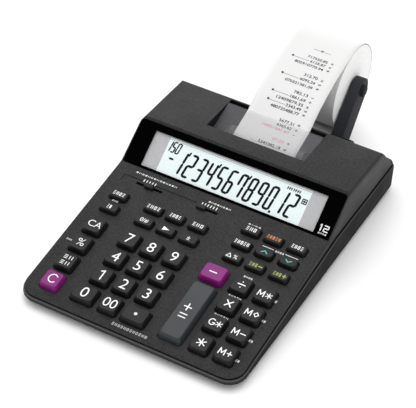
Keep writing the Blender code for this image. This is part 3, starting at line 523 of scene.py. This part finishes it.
bm = bmesh.new()
outer = shift(rounded(94.3, (BEZEL_LENGTH - 0.6) / 2, 2.6), 0, BEZEL_LENGTH / 2)
hole = shift(rounded(WINDOW_HALF, WINDOW_TALL, 0.5), WINDOW_X, WINDOW_MID)
frame_plate(bm, outer, hole, -1.5, -0.02, BEZEL)
bmesh.ops.recalc_face_normals(bm, faces=bm.faces)
bezel = piece("display_bezel", bm, [GLOSS], "housing", ("display_panel",), 30)
edge = bezel.modifiers.new("soft_edges", "BEVEL")
edge.width = 0.25 * MM
edge.segments = 2
edge.limit_method = "ANGLE"

bm = bmesh.new()
pane = shift(rounded(WINDOW_HALF - 0.15, WINDOW_TALL - 0.15, 0.4, 2), WINDOW_X, WINDOW_MID)
loft(bm, [[(x, y, -1.1) for x, y in pane], [(x, y, -0.35) for x, y in pane]], BEZEL)
piece("display_window", bm, [WINDOW], "housing")

bm = bmesh.new()
glass = shift(rounded(80.0, 16.7, 0.3, 1), WINDOW_X, 19.3)
loft(bm, [[(x, y, -4.6) for x, y in glass], [(x, y, -1.85) for x, y in glass]], BEZEL)
for x0, x1, y0, y1 in ((-79.9, -64.6, 2.7, 35.9), (66.2, 81.3, 2.7, 35.9), (-64.6, 66.2, 31.7, 32.2),
                       (-64.6, 66.2, 33.0, 35.0)):
    corners = ((x0, y0), (x1, y0), (x1, y1), (x0, y1))
    loft(bm, [[(x, y, -1.9) for x, y in corners], [(x, y, -1.8) for x, y in corners]], BEZEL, material=1)
piece("lcd_glass", bm, [LCD, LCD_BAND], "housing", ("lcd_module",), 30)

# which of the seven bars a digit lights, a to g: top, top right, low right, low, low left, top left, middle
SEGMENTS = {
    "0": "abcdef", "1": "bc", "2": "abged", "3": "abgcd", "4": "fgbc", "5": "afgcd", "6": "afgedc",
    "7": "fabc", "8": "abcdefg", "9": "abcdfg", "-": "g",
}


def add_bar(bm, start, end, width, height, matrix):
    """A bar with pointed ends between two points of a plane."""
    start, end = Vector(start), Vector(end)
    along = (end - start).normalized()
    across = Vector((-along.y, along.x)) * width / 2
    inset = along * width * 0.3
    outline = [start - inset, start + inset - across, end - inset - across, end + inset, end - inset + across,
               start + inset + across]
    loft(bm, [[(p.x, p.y, height - 0.06) for p in outline], [(p.x, p.y, height) for p in outline]], matrix)


def add_lcd_digit(bm, digit, x, y, wide, tall, width, lean, height):
    """One seven-segment digit with its lower left corner at x, y."""
    half = tall / 2
    ends = {"a": ((0, tall), (wide, tall)), "b": ((wide, tall), (wide, half)), "c": ((wide, half), (wide, 0)),
            "d": ((0, 0), (wide, 0)), "e": ((0, half), (0, 0)), "f": ((0, tall), (0, half)),
            "g": ((0, half), (wide, half))}
    for name in SEGMENTS[digit]:
        points = []
        for px, py in ends[name]:
            points.append((x + px + lean * py, y + py))
        start, end = Vector(points[0]), Vector(points[1])
        gap = (end - start).normalized() * width * 0.12
        add_bar(bm, start + gap, end - gap, width, height, BEZEL)


bm = bmesh.new()
LCD_FACE = -1.74
LEAN = 0.13
DIGITS_LEFT, DIGIT_PITCH, DIGIT_WIDE, DIGIT_TALL, DIGIT_BASE = -51.6, 9.33, 4.9, 19.4, 6.3
add_lcd_digit(bm, "-", -59.9, DIGIT_BASE + 0.5, 4.2, DIGIT_TALL, 1.7, LEAN, LCD_FACE)
for index, digit in enumerate("123456789012"):
    left = DIGITS_LEFT + DIGIT_PITCH * index
    add_lcd_digit(bm, digit, left, DIGIT_BASE, DIGIT_WIDE, DIGIT_TALL, 2.05, LEAN, LCD_FACE)
    if index in (0, 3, 6):
        tick = left + DIGIT_PITCH - 0.9
        add_bar(bm, (tick, DIGIT_BASE + DIGIT_TALL - 2.0), (tick + 0.9, DIGIT_BASE + DIGIT_TALL + 1.5),
                1.4, LCD_FACE, BEZEL)
point_x = DIGITS_LEFT + DIGIT_PITCH * 10 - 2.4
loft(bm, [[(point_x + px, DIGIT_BASE - 1.2 + py, LCD_FACE - z) for px, py in arc(0, 0, 1.1, 0, 330, 11)]
          for z in (0.06, 0.0)], BEZEL)
for index, digit in enumerate("150"):
    add_lcd_digit(bm, digit, -64.3 + 4.1 * index, 21.9, 2.6, 8.8, 1.15, LEAN, LCD_FACE)
for y in (20.9, 22.8, 24.7):
    add_bar(bm, (61.0, y), (65.3, y), 0.8, LCD_FACE, BEZEL)
for x in (61.3, 63.1, 65.0):
    add_bar(bm, (x, 20.6), (x, 25.0), 0.8, LCD_FACE, BEZEL)
for index in range(7):
    x = 45.4 + 1.85 * index
    add_bar(bm, (x, 27.6), (x + 0.4, 30.2), 0.7, LCD_FACE, BEZEL)
    if index not in (2, 6):
        add_bar(bm, (x + 0.2, 28.9), (x + 1.6, 28.9), 0.5, LCD_FACE, BEZEL)
bmesh.ops.recalc_face_normals(bm, faces=bm.faces)
piece("lcd_segments", bm, [SEGMENT], "housing", smooth_angle=0)


# ---------------------------------------------------------------- printed and moulded marks

def glyph_mesh(text, spacing=1.0, weight=0.012):
    """Flat triangles of a text in the built-in font, as (points, faces); a capital is about 1 high."""
    curve = bpy.data.curves.new("glyphs", "FONT")
    curve.body = text
    curve.size = 1.38
    curve.offset = weight
    curve.space_character = spacing
    curve.resolution_u = 4
    holder = bpy.data.objects.new("glyphs", curve)
    bpy.context.scene.collection.objects.link(holder)
    bpy.context.view_layer.update()
    mesh = holder.evaluated_get(bpy.context.evaluated_depsgraph_get()).to_mesh()
    points = [vertex.co.copy() for vertex in mesh.vertices]
    faces = [tuple(polygon.vertices) for polygon in mesh.polygons]
    bpy.data.objects.remove(holder)
    bpy.data.curves.remove(curve)
    return points, faces


def add_flat_text(bm, text, where, height, weight=0.012):
    """Lay a text through where(x, y), which returns a point of the row frame."""
    points, faces = glyph_mesh(text, 0.97, weight)
    xs = [p.x for p in points]
    ys = [p.y for p in points]
    mid_x = (min(xs) + max(xs)) / 2
    mid_y = (min(ys) + max(ys)) / 2
    verts = [bm.verts.new(where((p.x - mid_x) * height, (p.y - mid_y) * height)) for p in points]
    for face in faces:
        if len(set(face)) > 2:
            bm.faces.new([verts[i] for i in face])


def add_stroke(bm, start, end, width, where):
    """A round-ended stroke laid through where(x, y)."""
    start, end = Vector(start), Vector(end)
    turn = math.degrees(math.atan2(end.y - start.y, end.x - start.x))
    outline = arc(end.x, end.y, width / 2, turn - 90, turn + 90, 5)
    outline += arc(start.x, start.y, width / 2, turn + 90, turn + 270, 5)
    bm.faces.new([bm.verts.new(where(x, y)) for x, y in outline])


def polyline(*points):
    return tuple((*a, *b) for a, b in zip(points, points[1:]))


def ring_of(radius, start, end, steps, squeeze=1.0):
    return polyline(*[(x * squeeze, y) for x, y in arc(0, 0, radius, start, end, steps)])


# Drawings in key-top millimetres: strokes as (x0, y0, x1, y1), their width
STROKES = {
    "plus": (((-3.0, 0, 3.0, 0), (0, -3.3, 0, 3.3)), 0.97),
    "equals": (((-2.9, 1.65, 2.9, 1.65), (-2.9, -1.65, 2.9, -1.65)), 0.97),
    "minus": (((-2.9, 0, 2.9, 0),), 1.05),
    "times": (((-2.5, -2.7, 2.5, 2.7), (-2.5, 2.7, 2.5, -2.7)), 1.05),
    "divide": (((-3.0, 0, 3.0, 0), (0, 2.75, 0, 2.8), (0, -2.75, 0, -2.8)), 1.09),
    "star": (((0, -3.2, 0, 3.2), (-2.9, -1.75, 2.9, 1.75), (-2.9, 1.75, 2.9, -1.75)), 0.80),
    "diamond": (polyline((-2.3, 0), (0, 2.5), (2.3, 0), (0, -2.5), (-2.3, 0)), 0.88),
    "delta": (polyline((-2.0, -1.7), (2.0, -1.7), (0, 1.7), (-2.0, -1.7)), 0.63),
    "up": (polyline((-2.5, -1.0), (0, 1.1), (2.5, -1.0)), 0.92),
    "down": (polyline((-2.5, 1.0), (0, -1.1), (2.5, 1.0)), 0.92),
    "dot": (((0, 0, 0.05, 0),), 2.7),
    "one": (polyline((-2.1, 3.1), (0.5, 4.5), (0.5, -4.5)), 1.09),
    "memory": (polyline((-2.4, -2.7), (-2.1, 2.7), (0, -1.4), (2.1, 2.7), (2.4, -2.7)), 0.84),
    "grand": (ring_of(2.8, 48, 350, 12, 0.86) + polyline((2.35, -0.5), (0.5, -0.5)), 0.84),
    "clear": (ring_of(4.0, 42, 318, 14, 0.88), 0.92),
}
# what each key shows: (drawing or text, x, y, size), or (count of generic marks, x, y, height, width)
LEGENDS = {
    "key_clear": [("clear", 0.6, 0.3, 1.0)], "key_clear_all": [("CA", 0.4, 0.4, 6.6)],
    "key_markup": [(2, 0, 3.1, 3.6, 7.6), (2, 0, -2.9, 3.6, 7.6)], "key_percent": [("%", 0.4, 0.2, 7.6)],
    "key_item": [(2, 0, 0, 3.9, 3.6)], "key_time": [(4, 0, 0, 3.6, 10.2)],
    "key_rate": [("0/#", 0, 0, 4.0)], "key_cost": [(4, 0, 0, 3.6, 11.2)], "key_sell": [(4, 0, 0, 3.6, 9.4)],
    "key_margin": [(3, 0, 0, 3.6, 9.2)], "key_sign": [("±", 0, 0, 4.3)],
    "key_backspace": [("play", 0, 0, 1)], "key_1": [("one", 0, 0, 1.0)],
    "key_00": [("00", 0, 0.2, 9.0)], "key_point": [("dot", 0, 0.2, 1.0)],
    "key_plus_equals": [("plus", -0.8, 2.4, 1.0), ("equals", -0.6, -6.4, 1.0)],
    "key_minus": [("minus", -0.4, -0.4, 1.0)],
    "key_total": [("star", 0, -0.2, 1.1)],
    "key_grand_total": [("grand", -2.2, -0.2, 1.0), ("star", 3.5, -0.3, 0.82)],
    "key_multiply": [("times", 0.6, 0, 1.0)], "key_divide": [("divide", 0.4, 0, 1.0)],
    "key_memory_plus": [("memory", -3.1, -0.2, 1.0), ("plus", 3.0, -0.2, 0.62)],
    "key_memory_minus": [("memory", -3.1, -0.2, 1.0), ("minus", 3.2, -0.2, 0.72)],
    "key_memory_subtotal": [("memory", -3.1, -0.2, 1.0), ("diamond", 3.3, 0, 0.85)],
    "key_memory_total": [("memory", -3.1, -0.4, 1.0), ("star", 3.4, -0.4, 0.8)],
    "key_delta_percent": [("delta", -3.1, 0, 1.05), ("%", 2.4, 0, 4.0)],
    "key_correct": [(5, 0, 0, 3.7, 12.4)], "key_print": [(3, 0, 0, 3.7, 8.6)],
    "key_reprint": [(5, 0, 0, 3.3, 11.4)], "key_feed": [(4, 0, 0, 3.7, 9.8)],
    "key_tax_minus": [(3, -1.8, 0, 3.5, 6.6), ("minus", 4.3, 0, 0.5)],
    "key_tax_plus": [(3, -1.8, 0, 3.5, 6.6), ("plus", 4.3, 0, 0.5)],
    "key_step_up": [("up", 0, 0, 1.0)], "key_step_down": [("down", 0, 0, 1.0)],
}
for digit in "023456789":
    LEGENDS["key_" + digit] = [(digit, 0, 0.2, 10.0)]
LEGEND_COLOURS = {"key_reprint": LEGEND_ORANGE, "key_tax_minus": LEGEND_LIME, "key_tax_plus": LEGEND_LIME,
                  "key_step_up": LEGEND_TEAL, "key_step_down": LEGEND_TEAL}
GENERIC_MARKS = (  # in a unit square: three bars, two posts, a box
    ((0, 0, 1, 0), (0, 0.5, 1, 0.5), (0, 1, 1, 1)),
    ((0, 0, 0, 1), (1, 0, 1, 1)),
    polyline((0, 0), (1, 0), (1, 1), (0, 1), (0, 0)),
)


def add_marks(bm, count, x, y, height, width, where, stroke=0.62):
    """A row of generic marks that stands where the real object has a word."""
    pitch = width / max(count - 0.35, 0.65)
    wide, tall = pitch * 0.65 - stroke, height - stroke
    for index in range(count):
        left = x - width / 2 + stroke / 2 + pitch * index
        low = y - tall / 2
        for x0, y0, x1, y1 in GENERIC_MARKS[index % len(GENERIC_MARKS)]:
            start = (left + x0 * wide, low + y0 * tall)
            add_stroke(bm, start, (left + x1 * wide, low + y1 * tall), stroke, where)


def add_drawing(bm, what, x, y, size, *width, where):
    def at(px, py):
        return where(x + px, y + py)

    if width:
        add_marks(bm, what, 0, 0, size, width[0], at)
    elif what in STROKES:
        strokes, thick = STROKES[what]
        for x0, y0, x1, y1 in strokes:
            add_stroke(bm, (x0 * size, y0 * size), (x1 * size, y1 * size), thick * max(size, 0.85), at)
    elif what == "play":
        bm.faces.new([bm.verts.new(at(px, py)) for px, py in ((-2.8, -2.1), (3.0, 0), (-2.8, 2.1))])
    else:
        add_flat_text(bm, what, at, size, -0.006 if size > 5 else 0.004)


# ---------------------------------------------------------------- keys

COLUMNS = {"A": -76.0, "B": -43.5, "C": -23.4, "D": -2.9, "E": 32.2, "F": 56.5, "G": 77.3, "H": 36.8}
ROWS = {1: 18.6, 2: 39.4, 3: 60.2, 4: 81.0, 5: 103.7, 6: 118.9, 7: 134.8}
# kind: half width, half depth, height, draw-in of the top, dish depth, plan corner radius
KINDS = {
    "big": (8.3, 8.5, 5.0, 1.4, 0.45, 2.6), "small": (8.2, 4.9, 3.8, 1.0, 0.25, 2.2),
    "oval": (8.2, 4.9, 3.8, 1.0, 0.25, 4.2), "zero": (10.2, 8.4, 5.0, 1.5, 0.45, 2.6),
    "point": (10.8, 8.4, 5.0, 1.5, 0.45, 2.6), "minus": (10.4, 8.5, 5.6, 1.5, 0.3, 2.4),
    "equals": (10.4, 29.6, 5.6, 2.0, 0.4, 2.4),
}
KEYS = {
    "A": ("clear", "markup", "percent", "clear_all", "item", "time"),
    "B": ("0", "1", "4", "7", "rate", "cost"),
    "C": ("00", "2", "5", "8", "backspace", "sell"),
    "D": ("point", "3", "6", "9", "sign", "margin"),
    "F": ("total", "grand_total", "multiply", "divide", "tax_minus", "step_up", "reprint"),
    "G": ("memory_plus", "memory_minus", "memory_subtotal", "memory_total", "tax_plus", "step_down", "feed"),
}
KEY_PLACES = {"key_plus_equals": ("equals", COLUMNS["E"], 40.1), "key_minus": ("minus", COLUMNS["E"], 81.8),
              "key_delta_percent": ("small", COLUMNS["H"], ROWS[5]),
              "key_correct": ("small", COLUMNS["H"], ROWS[6]), "key_print": ("small", COLUMNS["H"], ROWS[7])}
for column, names in KEYS.items():
    for row, name in enumerate(names, 1):
        across = 0.3 if column in "FG" and row > 4 else {"0": -2.8, "point": 2.0}.get(name, 0.0)
        kind = "small" if row > 4 else {"0": "zero", "point": "point"}.get(name, "big")
        kind = "oval" if name in ("step_up", "step_down") else kind
        KEY_PLACES["key_" + name] = (kind, COLUMNS[column] + across, ROWS[row])


def make_key(name, kind, x, s):
    half_x, half_y, height, draw_in, dish, corner = KINDS[kind]
    matrix = PANEL @ Matrix.Translation((x, s, 0))
    top_x, top_y = half_x - draw_in - 0.5, half_y - draw_in - 0.5

    def surface(px, py):
        reach = min(1.0, (px / top_x) ** 2 * 0.5 + (py / top_y) ** 2 * 0.5)
        return height - dish * (1.0 - reach)

    rings = []
    for grow, extra, z in ((0.9, 0.2, -2.9), (0.9, 0.2, -2.1), (0.0, 0, -2.1), (-0.1, 0, 0.6),
                           (-draw_in * 0.5, 0, height * 0.62), (-draw_in * 0.85, 0, height - 0.75),
                           (-draw_in, 0, height - 0.35), (-draw_in - 0.2, 0, height - 0.1)):
        rings.append([(px, py, z) for px, py in rounded(half_x + grow, half_y + grow, corner + extra, 5, 6)])
    for share in (1.0, 0.8, 0.6, 0.4, 0.2):
        ring = rounded(top_x, top_y, max(corner - 0.6, 0.6), 5, 6)
        rings.append([(px * share, py * share, surface(px * share, py * share)) for px, py in ring])
    bm = bmesh.new()
    loft(bm, rings, matrix)
    slot = SLOT_OF[name]
    piece(name + "_cap", bm, [SLOT_MATERIALS[slot]], name, (name,), 50)

    bm = bmesh.new()
    for legend in LEGENDS[name]:
        add_drawing(bm, *legend, where=lambda px, py: matrix @ Vector((px, py, surface(px, py) + 0.05)))
    ink = LEGEND_COLOURS.get(name, LEGEND)
    piece(name + "_mark", bm, [ink], name, smooth_angle=0)


for name, (kind, x, s) in KEY_PLACES.items():
    make_key(name, kind, x, s)


# ---------------------------------------------------------------- marks on the panel

def on_panel(x, s):
    return PANEL @ Vector((x, s, 0.04))


bm = bmesh.new()
# generic marks printed on the panel: count, x, s, height, width
PANEL_WORDS = ((4, 56.4, 92.5, 1.7, 7.4), (5, 56.2, 71.0, 1.7, 10.8), (5, 56.0, 49.8, 1.9, 11.6),
               (4, 36.0, 141.5, 1.5, 11.0), (4, 66.3, 126.2, 1.7, 7.4), (3, -76.7, 113.2, 1.6, 5.2),
               (14, -58.6, 148.9, 1.5, 38.0), (8, 1.0, 147.6, 1.5, 20.0))
for count, x, s, height, width in PANEL_WORDS:
    add_marks(bm, count, x, s, height, width, on_panel, 0.42)
for s, x, count in ((81.5, 86.4, 1), (60.5, 86.6, 2), (39.5, 86.8, 2), (18.7, 86.6, 2)):
    add_marks(bm, count, x, s, 2.2, 1.6 * count, on_panel, 0.5)
for x0, x1 in ((51.3, 60.8), (71.4, 82.0)):
    add_stroke(bm, (x0, 126.6), (x1, 126.6), 0.55, on_panel)
for start, count in ((-67.0, 5), (-12.6, 6)):
    for step in range(count):
        x = start + 2.6 * step
        add_stroke(bm, (x, 142.4), (x, 144.6), 0.75, on_panel)
piece("panel_marks", bm, [LEGEND], "housing", smooth_angle=0)

bm = bmesh.new()
add_marks(bm, 3, -88.1, 61.7, 1.8, 4.6, on_panel, 0.5)
add_marks(bm, 12, 0.8, 5.9, 2.5, 30.5, on_panel, 0.5)
piece("panel_marks_grey", bm, [LEGEND_GREY], "housing", smooth_angle=0)

bm = bmesh.new()


BEZEL_NUMBER_X, BEZEL_NUMBER_Y = 87.6, 8.2


def on_bezel(x, y):
    return BEZEL @ Vector((BEZEL_NUMBER_X + x, y, 0.03))


DRAWN_ONE = polyline((-0.7, 1.8), (0.2, 2.6), (0.2, -2.6))
DRAWN_TWO = polyline((-1.3, 2.4), (2.2, 2.4), (2.2, 0.1), (-1.3, 0.1), (-1.3, -2.4), (2.2, -2.4))
for x, strokes in ((-3.0, DRAWN_ONE), (1.2, DRAWN_TWO)):
    for x0, y0, x1, y1 in strokes:
        add_stroke(bm, (x + x0, BEZEL_NUMBER_Y + y0), (x + x1, BEZEL_NUMBER_Y + y1), 0.95, on_bezel)
add_marks(bm, 4, 0, 3.6, 1.3, 7.0, on_bezel, 0.35)
piece("bezel_marks", bm, [LEGEND], "housing", smooth_angle=0)


# ---------------------------------------------------------------- paper

def tangent_point(start, centre, radius, side):
    offset = centre - start
    heading = math.atan2(offset.y, offset.x) + side * math.asin(radius / offset.length)
    reach = math.sqrt(offset.length_squared - radius ** 2)
    return start + Vector((math.cos(heading), math.sin(heading))) * reach


def smooth_through(points, steps):
    curve = []
    for before, a, b, after in zip(points, points[1:], points[2:], points[3:]):
        for i in range(steps):
            t = i / steps
            curve.append(0.5 * (2 * a + (b - before) * t + (2 * before - 5 * a + 4 * b - after) * t ** 2
                                + (3 * a - before - 3 * b + after) * t ** 3))
    return curve + [points[-2]]


def arc_points(centre, radius, start, end, steps):
    return [Vector(p) for p in arc(centre.x, centre.y, radius, start, end, steps)]


TEAR_ALONG = (TEAR_HIGH - TEAR_LOW).normalized()
TEAR_UP = Vector((-TEAR_ALONG.y, TEAR_ALONG.x))
PLATEN = TEAR_LOW - TEAR_UP * 11.1 + TEAR_ALONG * 8.0
WRAP = 8.5  # radius of the strip's bend round the platen
under_platen = tangent_point(INLET, PLATEN, WRAP, 1)
wrap_start = math.degrees(math.atan2(under_platen.y - PLATEN.y, under_platen.x - PLATEN.x)) % 360
wrap_end = 90.0 + math.degrees(math.asin(TEAR_ALONG.y))
inside = [tangent_point(INLET, ROLL_AXIS, ROLL_RADIUS + 0.6, -1), INLET]
inside += arc_points(PLATEN, WRAP, wrap_start, wrap_end, 16)
exit_point = inside[-1] + TEAR_ALONG * 22.4
landing = arc_points(ROLL_AXIS, ROLL_RADIUS + 1.2, 99.0, -26.0, 30)
rise = [exit_point - TEAR_ALONG * 6.0, exit_point]
rise += [Vector(p) for p in ((252.0, 59.6), (262.0, 66.4), (279.0, 74.6), (300.0, 82.6))] + landing[:2]
PATH = inside + smooth_through(rise, 8)[:-1] + landing
LENGTHS = [0.0]
for first, second in zip(PATH, PATH[1:]):
    LENGTHS.append(LENGTHS[-1] + (second - first).length)
EXIT_AT = LENGTHS[len(inside)]


def along_paper(distance):
    """(y, z) of the paper and its normal at a distance from its start."""
    distance = min(max(distance, 0.0), LENGTHS[-1] - 1e-6)
    index = max(i for i, at in enumerate(LENGTHS[:-1]) if at <= distance)
    a, b = PATH[index], PATH[index + 1]
    share = (distance - LENGTHS[index]) / (LENGTHS[index + 1] - LENGTHS[index])
    along = (b - a).normalized()
    return a + (b - a) * share, Vector((-along.y, along.x))


def on_paper(x, distance, lift=0.12):
    """A point of the slightly uneven strip, or one just above its printed face."""
    point, up = along_paper(distance)
    past_exit = max(0.0, min(1.0, (distance - EXIT_AT - 10) / 30))
    before_end = max(0.0, min(1.0, (LENGTHS[-1] - distance) / 40))
    curl = 0.12 * math.sin(distance * 0.11 + (x - PAPER_X) / PAPER_HALF * 1.3) * (past_exit * before_end)
    return place(x, *(point + up * (curl + lift)))


bm = bmesh.new()
columns = 12
rows = []
step_count = 150
for i in range(step_count + 1):
    distance = LENGTHS[-1] * i / step_count
    row = []
    for j in range(columns + 1):
        share = j / columns * 2 - 1
        tooth = 0.35 * (j % 2) if i == step_count else 0.0
        row.append(bm.verts.new(on_paper(PAPER_X + PAPER_HALF * share, distance, 0.0)
                                + Vector((0, 0, -tooth * MM))))
    rows.append(row)
for low, high in zip(rows, rows[1:]):
    for j in range(columns):
        bm.faces.new((low[j], low[j + 1], high[j + 1], high[j]))
bmesh.ops.recalc_face_normals(bm, faces=bm.faces)
strip = piece("paper_strip", bm, [PAPER], None, ("paper_web",), 60)
thick = strip.modifiers.new("sheet_thickness", "SOLIDIFY")
thick.thickness = 0.1 * MM
thick.offset = 0.0

random.seed(415)
ROW_HEIGHT = 2.7
FIGURES_RIGHT, SIGN_RIGHT = 15.6, 21.2


def number_text(figures):
    body = "".join(random.choice("0123456789") for _ in range(figures))
    return body[:-2] + "." + body[-2:]


def print_row(bm, distance, text, left, right, height=ROW_HEIGHT):
    """Figures laid on the strip and fitted between left and right."""
    points, faces = glyph_mesh(text, 1.0, 0.022)
    low = min(p.x for p in points)
    across = (right - left) / (max(p.x for p in points) - low)
    verts = [bm.verts.new(on_paper(left + (p.x - low) * across, distance + (p.y - 0.5) * height))
             for p in points]
    for face in faces:
        if len(set(face)) > 2:
            bm.faces.new([verts[i] for i in face])


# rows from the inner end of the strip: distance from the plate's edge, left end, sign, has dashes, is red
PRINTED = ((-23.6, -5.0, "=", 0, 0), (-17.3, 5.0, "+", 0, 1), (-7.0, -9.5, "-", 0, 1), (-2.6, 2.0, "+", 0, 0),
           (2.0, 2.0, "*", 0, 0), (11.7, -11.0, "*", 0, 0), (16.1, 1.5, "=", 1, 0), (20.4, -9.5, "x", 0, 0),
           (25.0, 1.5, "+", 1, 0), (30.0, 2.5, "-", 0, 0), (38.3, -10.0, "*", 0, 0), (43.4, 1.5, "=", 1, 0),
           (48.5, 3.0, "x", 0, 0), (58.6, -11.0, "*", 0, 0), (63.2, 1.5, "+", 1, 0), (67.6, -3.0, "+", 0, 0))
black, red = bmesh.new(), bmesh.new()
for offset, left, sign, has_dashes, is_red in PRINTED:
    distance = EXIT_AT + offset
    figures = max(3, round((FIGURES_RIGHT - left) / 2.4))
    print_row(red if is_red else black, distance, number_text(figures), left, FIGURES_RIGHT)
    print_row(black, distance, sign, SIGN_RIGHT - 2.6, SIGN_RIGHT, 3.0)
    if has_dashes:
        print_row(black, distance, "-" * 10, -14.0, 0.5, 2.0)
        add_stroke(black, (-15.2, 0), (-15.1, 0), 2.0, lambda x, y, at=distance: on_paper(x, at + y))
print_row(black, EXIT_AT + 77.5, "-" * 5 + "8" + "-" * 5, -2.5, 14.0, 2.0)
for name, made_bm, ink in (("printed_rows", black, INK), ("printed_rows_red", red, INK_RED)):
    rows_piece = piece(name, made_bm, [ink], None, smooth_angle=0)
    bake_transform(rows_piece)
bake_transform(strip)

bm = bmesh.new()
ROLL_SIDES = 96
profile = ((CORE_RADIUS, -28.6), (CORE_RADIUS + 1.6, -28.6), (CORE_RADIUS + 1.8, -29.0),
           (ROLL_RADIUS - 0.25, -29.0), (ROLL_RADIUS, -28.7), (ROLL_RADIUS, 28.7),
           (ROLL_RADIUS - 0.25, 29.0), (CORE_RADIUS + 1.8, 29.0), (CORE_RADIUS + 1.6, 28.6),
           (CORE_RADIUS, 28.6))
rings = [[(px, py, z) for px, py in arc(0, 0, radius, 0, 360 - 360 / ROLL_SIDES, ROLL_SIDES - 1)]
         for radius, z in profile]
closed_skin(bm, rings, axis_x(PAPER_X, *ROLL_AXIS), (2, 2, 1, 1, 0, 1, 1, 2, 2, 2))
bmesh.ops.recalc_face_normals(bm, faces=bm.faces)
piece("paper_roll_wound", bm, [PAPER, PAPER_EDGE, KRAFT], "paper_roll", ("paper_roll",), 35)


for side, label in ((-1, "left"), (1, "right")):
    bm = bmesh.new()
    knob = []
    for index in range(48):
        reach = 5.3 if index % 4 < 2 else 4.8
        turn_to = math.radians(7.5 * index)
        knob.append((reach * math.cos(turn_to), reach * math.sin(turn_to)))
    rings = [[(px * grow, py * grow, z * side) for px, py in knob]
             for grow, z in ((1.0, 38.9), (1.0, 40.9), (0.9, 41.5), (0.6, 41.6))]
    loft(bm, rings, axis_x(PAPER_X, *ROLL_AXIS))
    bmesh.ops.recalc_face_normals(bm, faces=bm.faces)
    piece("spindle_knob_" + label, bm, [ARM], "roll_holder", smooth_angle=25)


# ---------------------------------------------------------------- floor, light and camera

def make_stage():
    bm = bmesh.new()
    bmesh.ops.create_grid(bm, x_segments=1, y_segments=1, size=6.0)
    mesh = bpy.data.meshes.new("floor")
    bm.to_mesh(mesh)
    bm.free()
    floor = bpy.data.objects.new("floor", mesh)
    floor.location = (0, 0, -0.0002)
    bpy.context.scene.collection.objects.link(floor)
    mesh.materials.append(plastic("floor_white", (0.97, 0.97, 0.97), 0.6, 4.0, 0.0, 0.99, 1.0))


def add_area(name, location, target, size, power):
    data = bpy.data.lights.new(name, "AREA")
    data.shape = "RECTANGLE"
    data.size, data.size_y = size
    data.energy = power
    lamp = bpy.data.objects.new(name, data)
    lamp.location = location
    lamp.rotation_euler = (Vector(target) - Vector(location)).to_track_quat("-Z", "Y").to_euler()
    bpy.context.scene.collection.objects.link(lamp)


def light_world(tree):
    """A white studio that is brightest above, behind and to the left of the object."""
    coordinates = tree.nodes.new("ShaderNodeTexCoord")
    facing = tree.nodes.new("ShaderNodeVectorMath")
    facing.operation = "DOT_PRODUCT"
    facing.inputs[1].default_value = Vector((-0.50, 0.62, 0.60)).normalized()
    ranged = tree.nodes.new("ShaderNodeMapRange")
    ranged.interpolation_type = "SMOOTHSTEP"
    for socket, value in (("From Min", -0.15), ("From Max", 1.0), ("To Min", 0.82), ("To Max", 1.3)):
        ranged.inputs[socket].default_value = value
    tree.links.new(coordinates.outputs["Generated"], facing.inputs[0])
    tree.links.new(facing.outputs["Value"], ranged.inputs["Value"])
    tree.links.new(ranged.outputs["Result"], tree.nodes["Background"].inputs["Strength"])
    tree.nodes["Background"].inputs["Color"].default_value = (1.0, 1.0, 1.0, 1.0)


make_stage()
world = bpy.data.worlds.new("studio")
world.use_nodes = True
light_world(world.node_tree)
bpy.context.scene.world = world
bpy.context.scene.view_settings.view_transform = "Standard"
add_area("top_softbox", (-0.15, 0.35, 1.5), (0, 0, 0), (1.2, 1.0), 6.0)
add_area("left_back_softbox", (-0.55, 0.42, 0.45), (-0.05, 0.03, 0.05), (0.35, 0.3), 0.45)
add_area("right_softbox", (1.4, 0.2, 0.6), (0, 0, 0.05), (0.7, 0.6), 0.15)

AZIMUTH, ELEVATION, ROLL = (math.radians(angle) for angle in (26.82, 40.37, 3.36))
CAMERA_PLACE = place(443.34, -748.94, 884.12)
SENSOR_WIDTH, LENS = 36.0, 141.1373
back = Vector((math.sin(AZIMUTH) * math.cos(ELEVATION), -math.cos(AZIMUTH) * math.cos(ELEVATION),
               math.sin(ELEVATION)))
right = Vector((0, 0, 1)).cross(back).normalized()
up = back.cross(right)
turned_right = right * math.cos(ROLL) + up * math.sin(ROLL)
turned_up = up * math.cos(ROLL) - right * math.sin(ROLL)
camera_data = bpy.data.cameras.new("camera")
camera_data.sensor_width = SENSOR_WIDTH
camera_data.sensor_fit = "HORIZONTAL"
camera_data.lens = LENS
camera_data.clip_start = 0.05
camera_data.clip_end = 20.0
camera = bpy.data.objects.new("camera", camera_data)
camera.matrix_world = Matrix.Translation(CAMERA_PLACE) @ Matrix(
    (turned_right, turned_up, back)).transposed().to_4x4()
bpy.context.scene.collection.objects.link(camera)
bpy.context.scene.camera = camera
